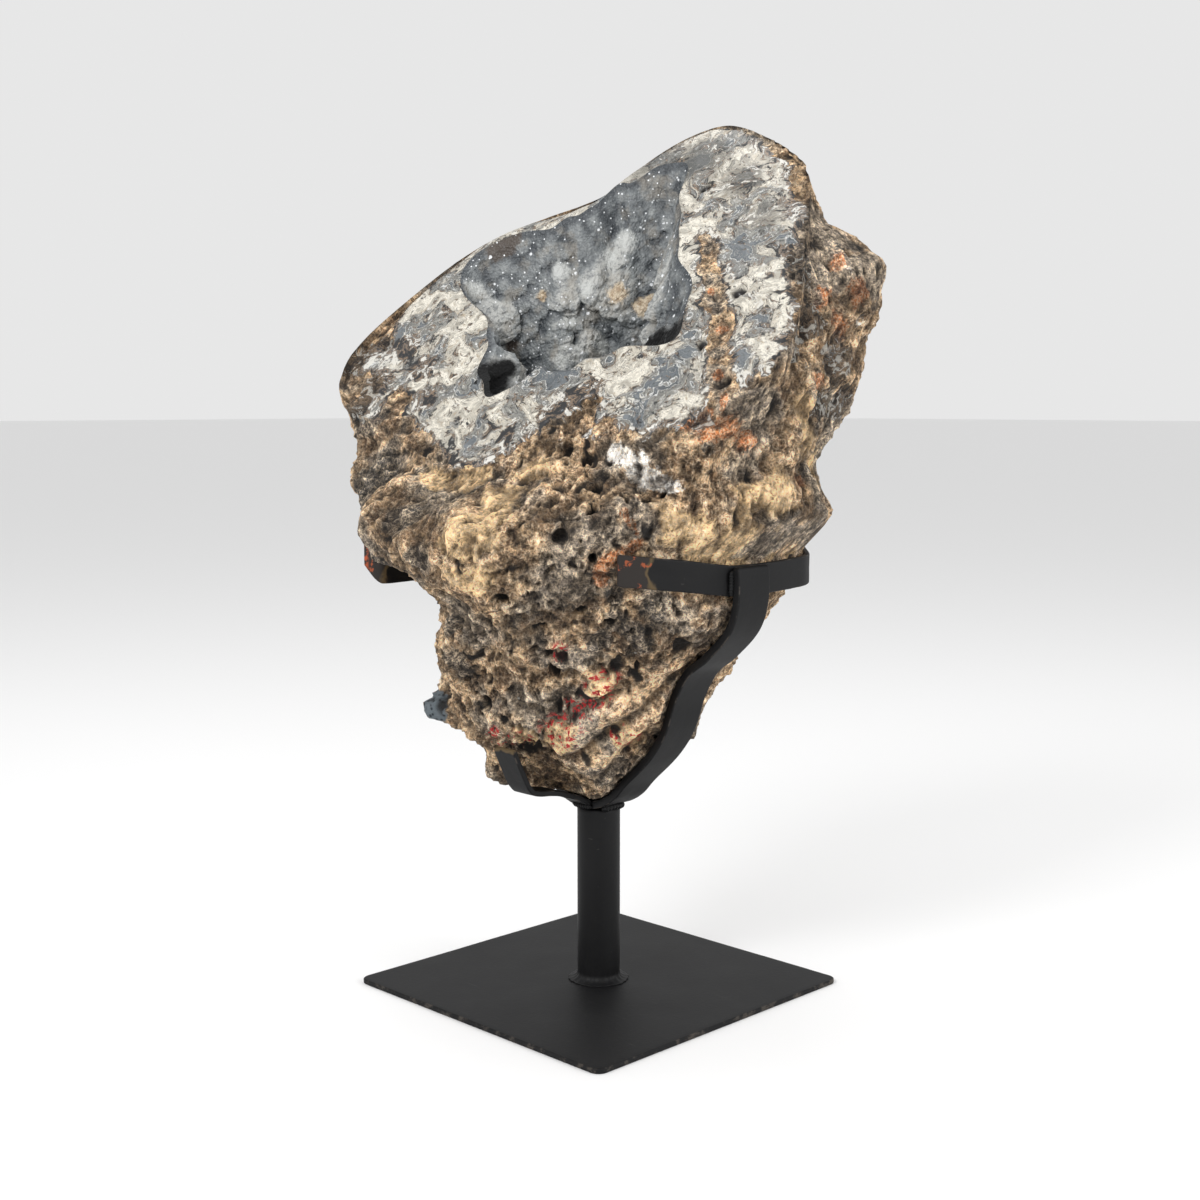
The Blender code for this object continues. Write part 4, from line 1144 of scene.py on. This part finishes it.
def steel_paint():
    """Matt black paint with a hammered skin and scratches, rubbed to brown and rust at the tips."""
    p = Paint("black_steel")
    edge, start, finish = p.value("edge"), p.value("start"), p.value("finish")
    cloud = p.noise(40, 5, 0.6)
    fine = p.noise(2.4, 5, 0.6)
    turned_place = {"Vector": p.place, "Rotation": (0.3, 0.5, 0.9), "Scale": (1, 14, 14)}
    scratch_place = p.node("ShaderNodeMapping", None, turned_place)[0]
    rubbed = start.most(finish) + (p.noise(16, 3, 0.5) - 0.5) * 0.5
    worn = rubbed.step(0.36, 0.39)
    black = p.blend((0.0035, 0.0035, 0.004), (0.0065, 0.0065, 0.007), cloud.step(0.35, 0.7))
    colour = p.layers(black, [
        ((0.05, 0.048, 0.046), p.noise(28, 3, 0.5, 0.2, scratch_place).step(0.70, 0.76) * 0.35),
        ((0.085, 0.072, 0.060), edge.step(0.55, 1.0) * p.noise(7, 4, 0.7).step(0.50, 0.62) * 0.55),
        ((0.024, 0.020, 0.018), worn),
        ((0.11, 0.075, 0.035), along_level(rubbed, 0.40, 0.05) * 0.8),
        ((0.30, 0.075, 0.03), worn * p.noise(7, 4, 0.65).step(0.58, 0.62) * 0.85),
        ((0.42, 0.085, 0.03), finish.step(0.85, 1.1) * p.noise(9, 4, 0.65).step(0.44, 0.50) * 0.85),
    ])
    rough = 0.46 + cloud * 0.16 + worn * 0.15
    normal = p.bump(fine, 0.25, 0.35)
    return p.finish(Base_Color=colour, Roughness=rough, Normal=normal, Specular_IOR_Level=0.2)


def floor_paint():
    """Plain pale floor."""
    p = Paint("pale_floor")
    return p.finish(Base_Color=(0.86, 0.86, 0.86, 1), Roughness=0.9)


# Assembly

def settle(piece, slot, *nodes):
    """Ties a piece to the one body and hides the solids it stands for; slot is not used."""
    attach(piece, "root")
    if nodes:
        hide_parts(*nodes)
    return piece


def make_welds(paint):
    """Beads where bars meet: at the straps' crossings, the toe strap's root and the post's top."""
    half = BAR_WIDTH / 2
    seams = {
        "weld_front_left": ([(112.9, -half - 0.2, 243.5), (112.9, -half - 0.2, 257)], 1.5),
        "weld_front_right": ([(112.9, half + 0.2, 243.5), (112.9, half + 0.2, 257)], 1.5),
        "weld_rear_left": ([(-110.0, -half - 0.2, 239), (-110.0, -half - 0.2, 253)], 1.4),
        "weld_rear_right": ([(-110.0, half + 0.2, 239), (-110.0, half + 0.2, 253)], 1.4),
        "weld_toe": ([(-7.5, -half - 0.6, 111.2), (0, -half - 1.0, 110.8), (7.5, -half - 0.6, 111.2)], 1.7),
        "weld_post_right": ([(11.6, -9, 109.6), (13.2, 0, 110.4), (11.6, 9, 109.6)], 2.0),
        "weld_post_left": ([(-11.6, -9, 109.6), (-13.2, 0, 110.4), (-11.6, 9, 109.6)], 2.0),
    }
    return [make_bead(name, path, radius, paint) for name, (path, radius) in seams.items()]


def make_object():
    stone = stone_paint()
    druse = druse_paint()
    steel = steel_paint()
    settle(make_stone(stone), "stone", "stone")
    settle(make_crust(druse), "druse", "druse_crust")
    settle(make_plate(steel), "steel", "base_plate")
    settle(make_post(steel), "steel", "post")
    for name, stations, width, thick in stand_bars():
        worn = WORN_ENDS.get(name, (0, 0))
        settle(make_bar(name + "_painted", stations, width, thick, worn, steel), "steel", name)
    for bead in make_welds(steel):
        settle(bead, "steel")


# Camera, light and floor

CAMERA_PLACE = (0.6982, -0.6971, 0.3459)
CAMERA_DOWN = 6.63
CAMERA_ROUND = 45.0
LENS = 50.93


def make_camera():
    """The photograph's view, worked out from the plate's corners and the post."""
    camera = bpy.data.cameras.new("view")
    camera.lens = LENS
    camera.sensor_width = 36
    holder = bpy.data.objects.new("view", camera)
    bpy.context.scene.collection.objects.link(holder)
    holder.location = CAMERA_PLACE
    holder.rotation_euler = (np.radians(90 - CAMERA_DOWN), 0, np.radians(CAMERA_ROUND))
    bpy.context.scene.camera = holder


def add_light(name, place, target, size, power):
    """A square soft box that faces its target."""
    lamp = bpy.data.lights.new(name, "AREA")
    lamp.size = size
    lamp.energy = power
    holder = bpy.data.objects.new(name, lamp)
    bpy.context.scene.collection.objects.link(holder)
    holder.location = place
    back = unit(np.array(place, float) - np.array(target, float))
    tilt = np.arccos(back[2])
    holder.rotation_euler = (tilt, 0, np.arctan2(back[1], back[0]) + np.pi / 2)


def make_studio():
    """A pale floor, a pale surround and three soft boxes."""
    corners = np.array([(-30, -30, 0), (30, -30, 0), (30, 30, 0), (-30, 30, 0)], float) / MM
    floor = make_piece("floor", corners, np.array([[0, 1, 2, 3]]), np.zeros((0, 3), int), floor_paint())
    world = bpy.data.worlds.new("studio")
    world.use_nodes = True
    background = world.node_tree.nodes["Background"]
    background.inputs["Color"].default_value = (1, 1, 1, 1)
    background.inputs["Strength"].default_value = 0.8
    bpy.context.scene.world = world
    bpy.context.scene.view_settings.view_transform = "Standard"
    middle = (0, 0, 0.3)
    add_light("front_left_box", (0.1, -1.6, 1.4), middle, 0.7, 20)
    add_light("right_box", (1.7, 0.5, 0.9), middle, 0.9, 13)
    add_light("top_box", (-0.3, 0.2, 1.8), middle, 0.8, 5)


make_object()
make_camera()
make_studio()
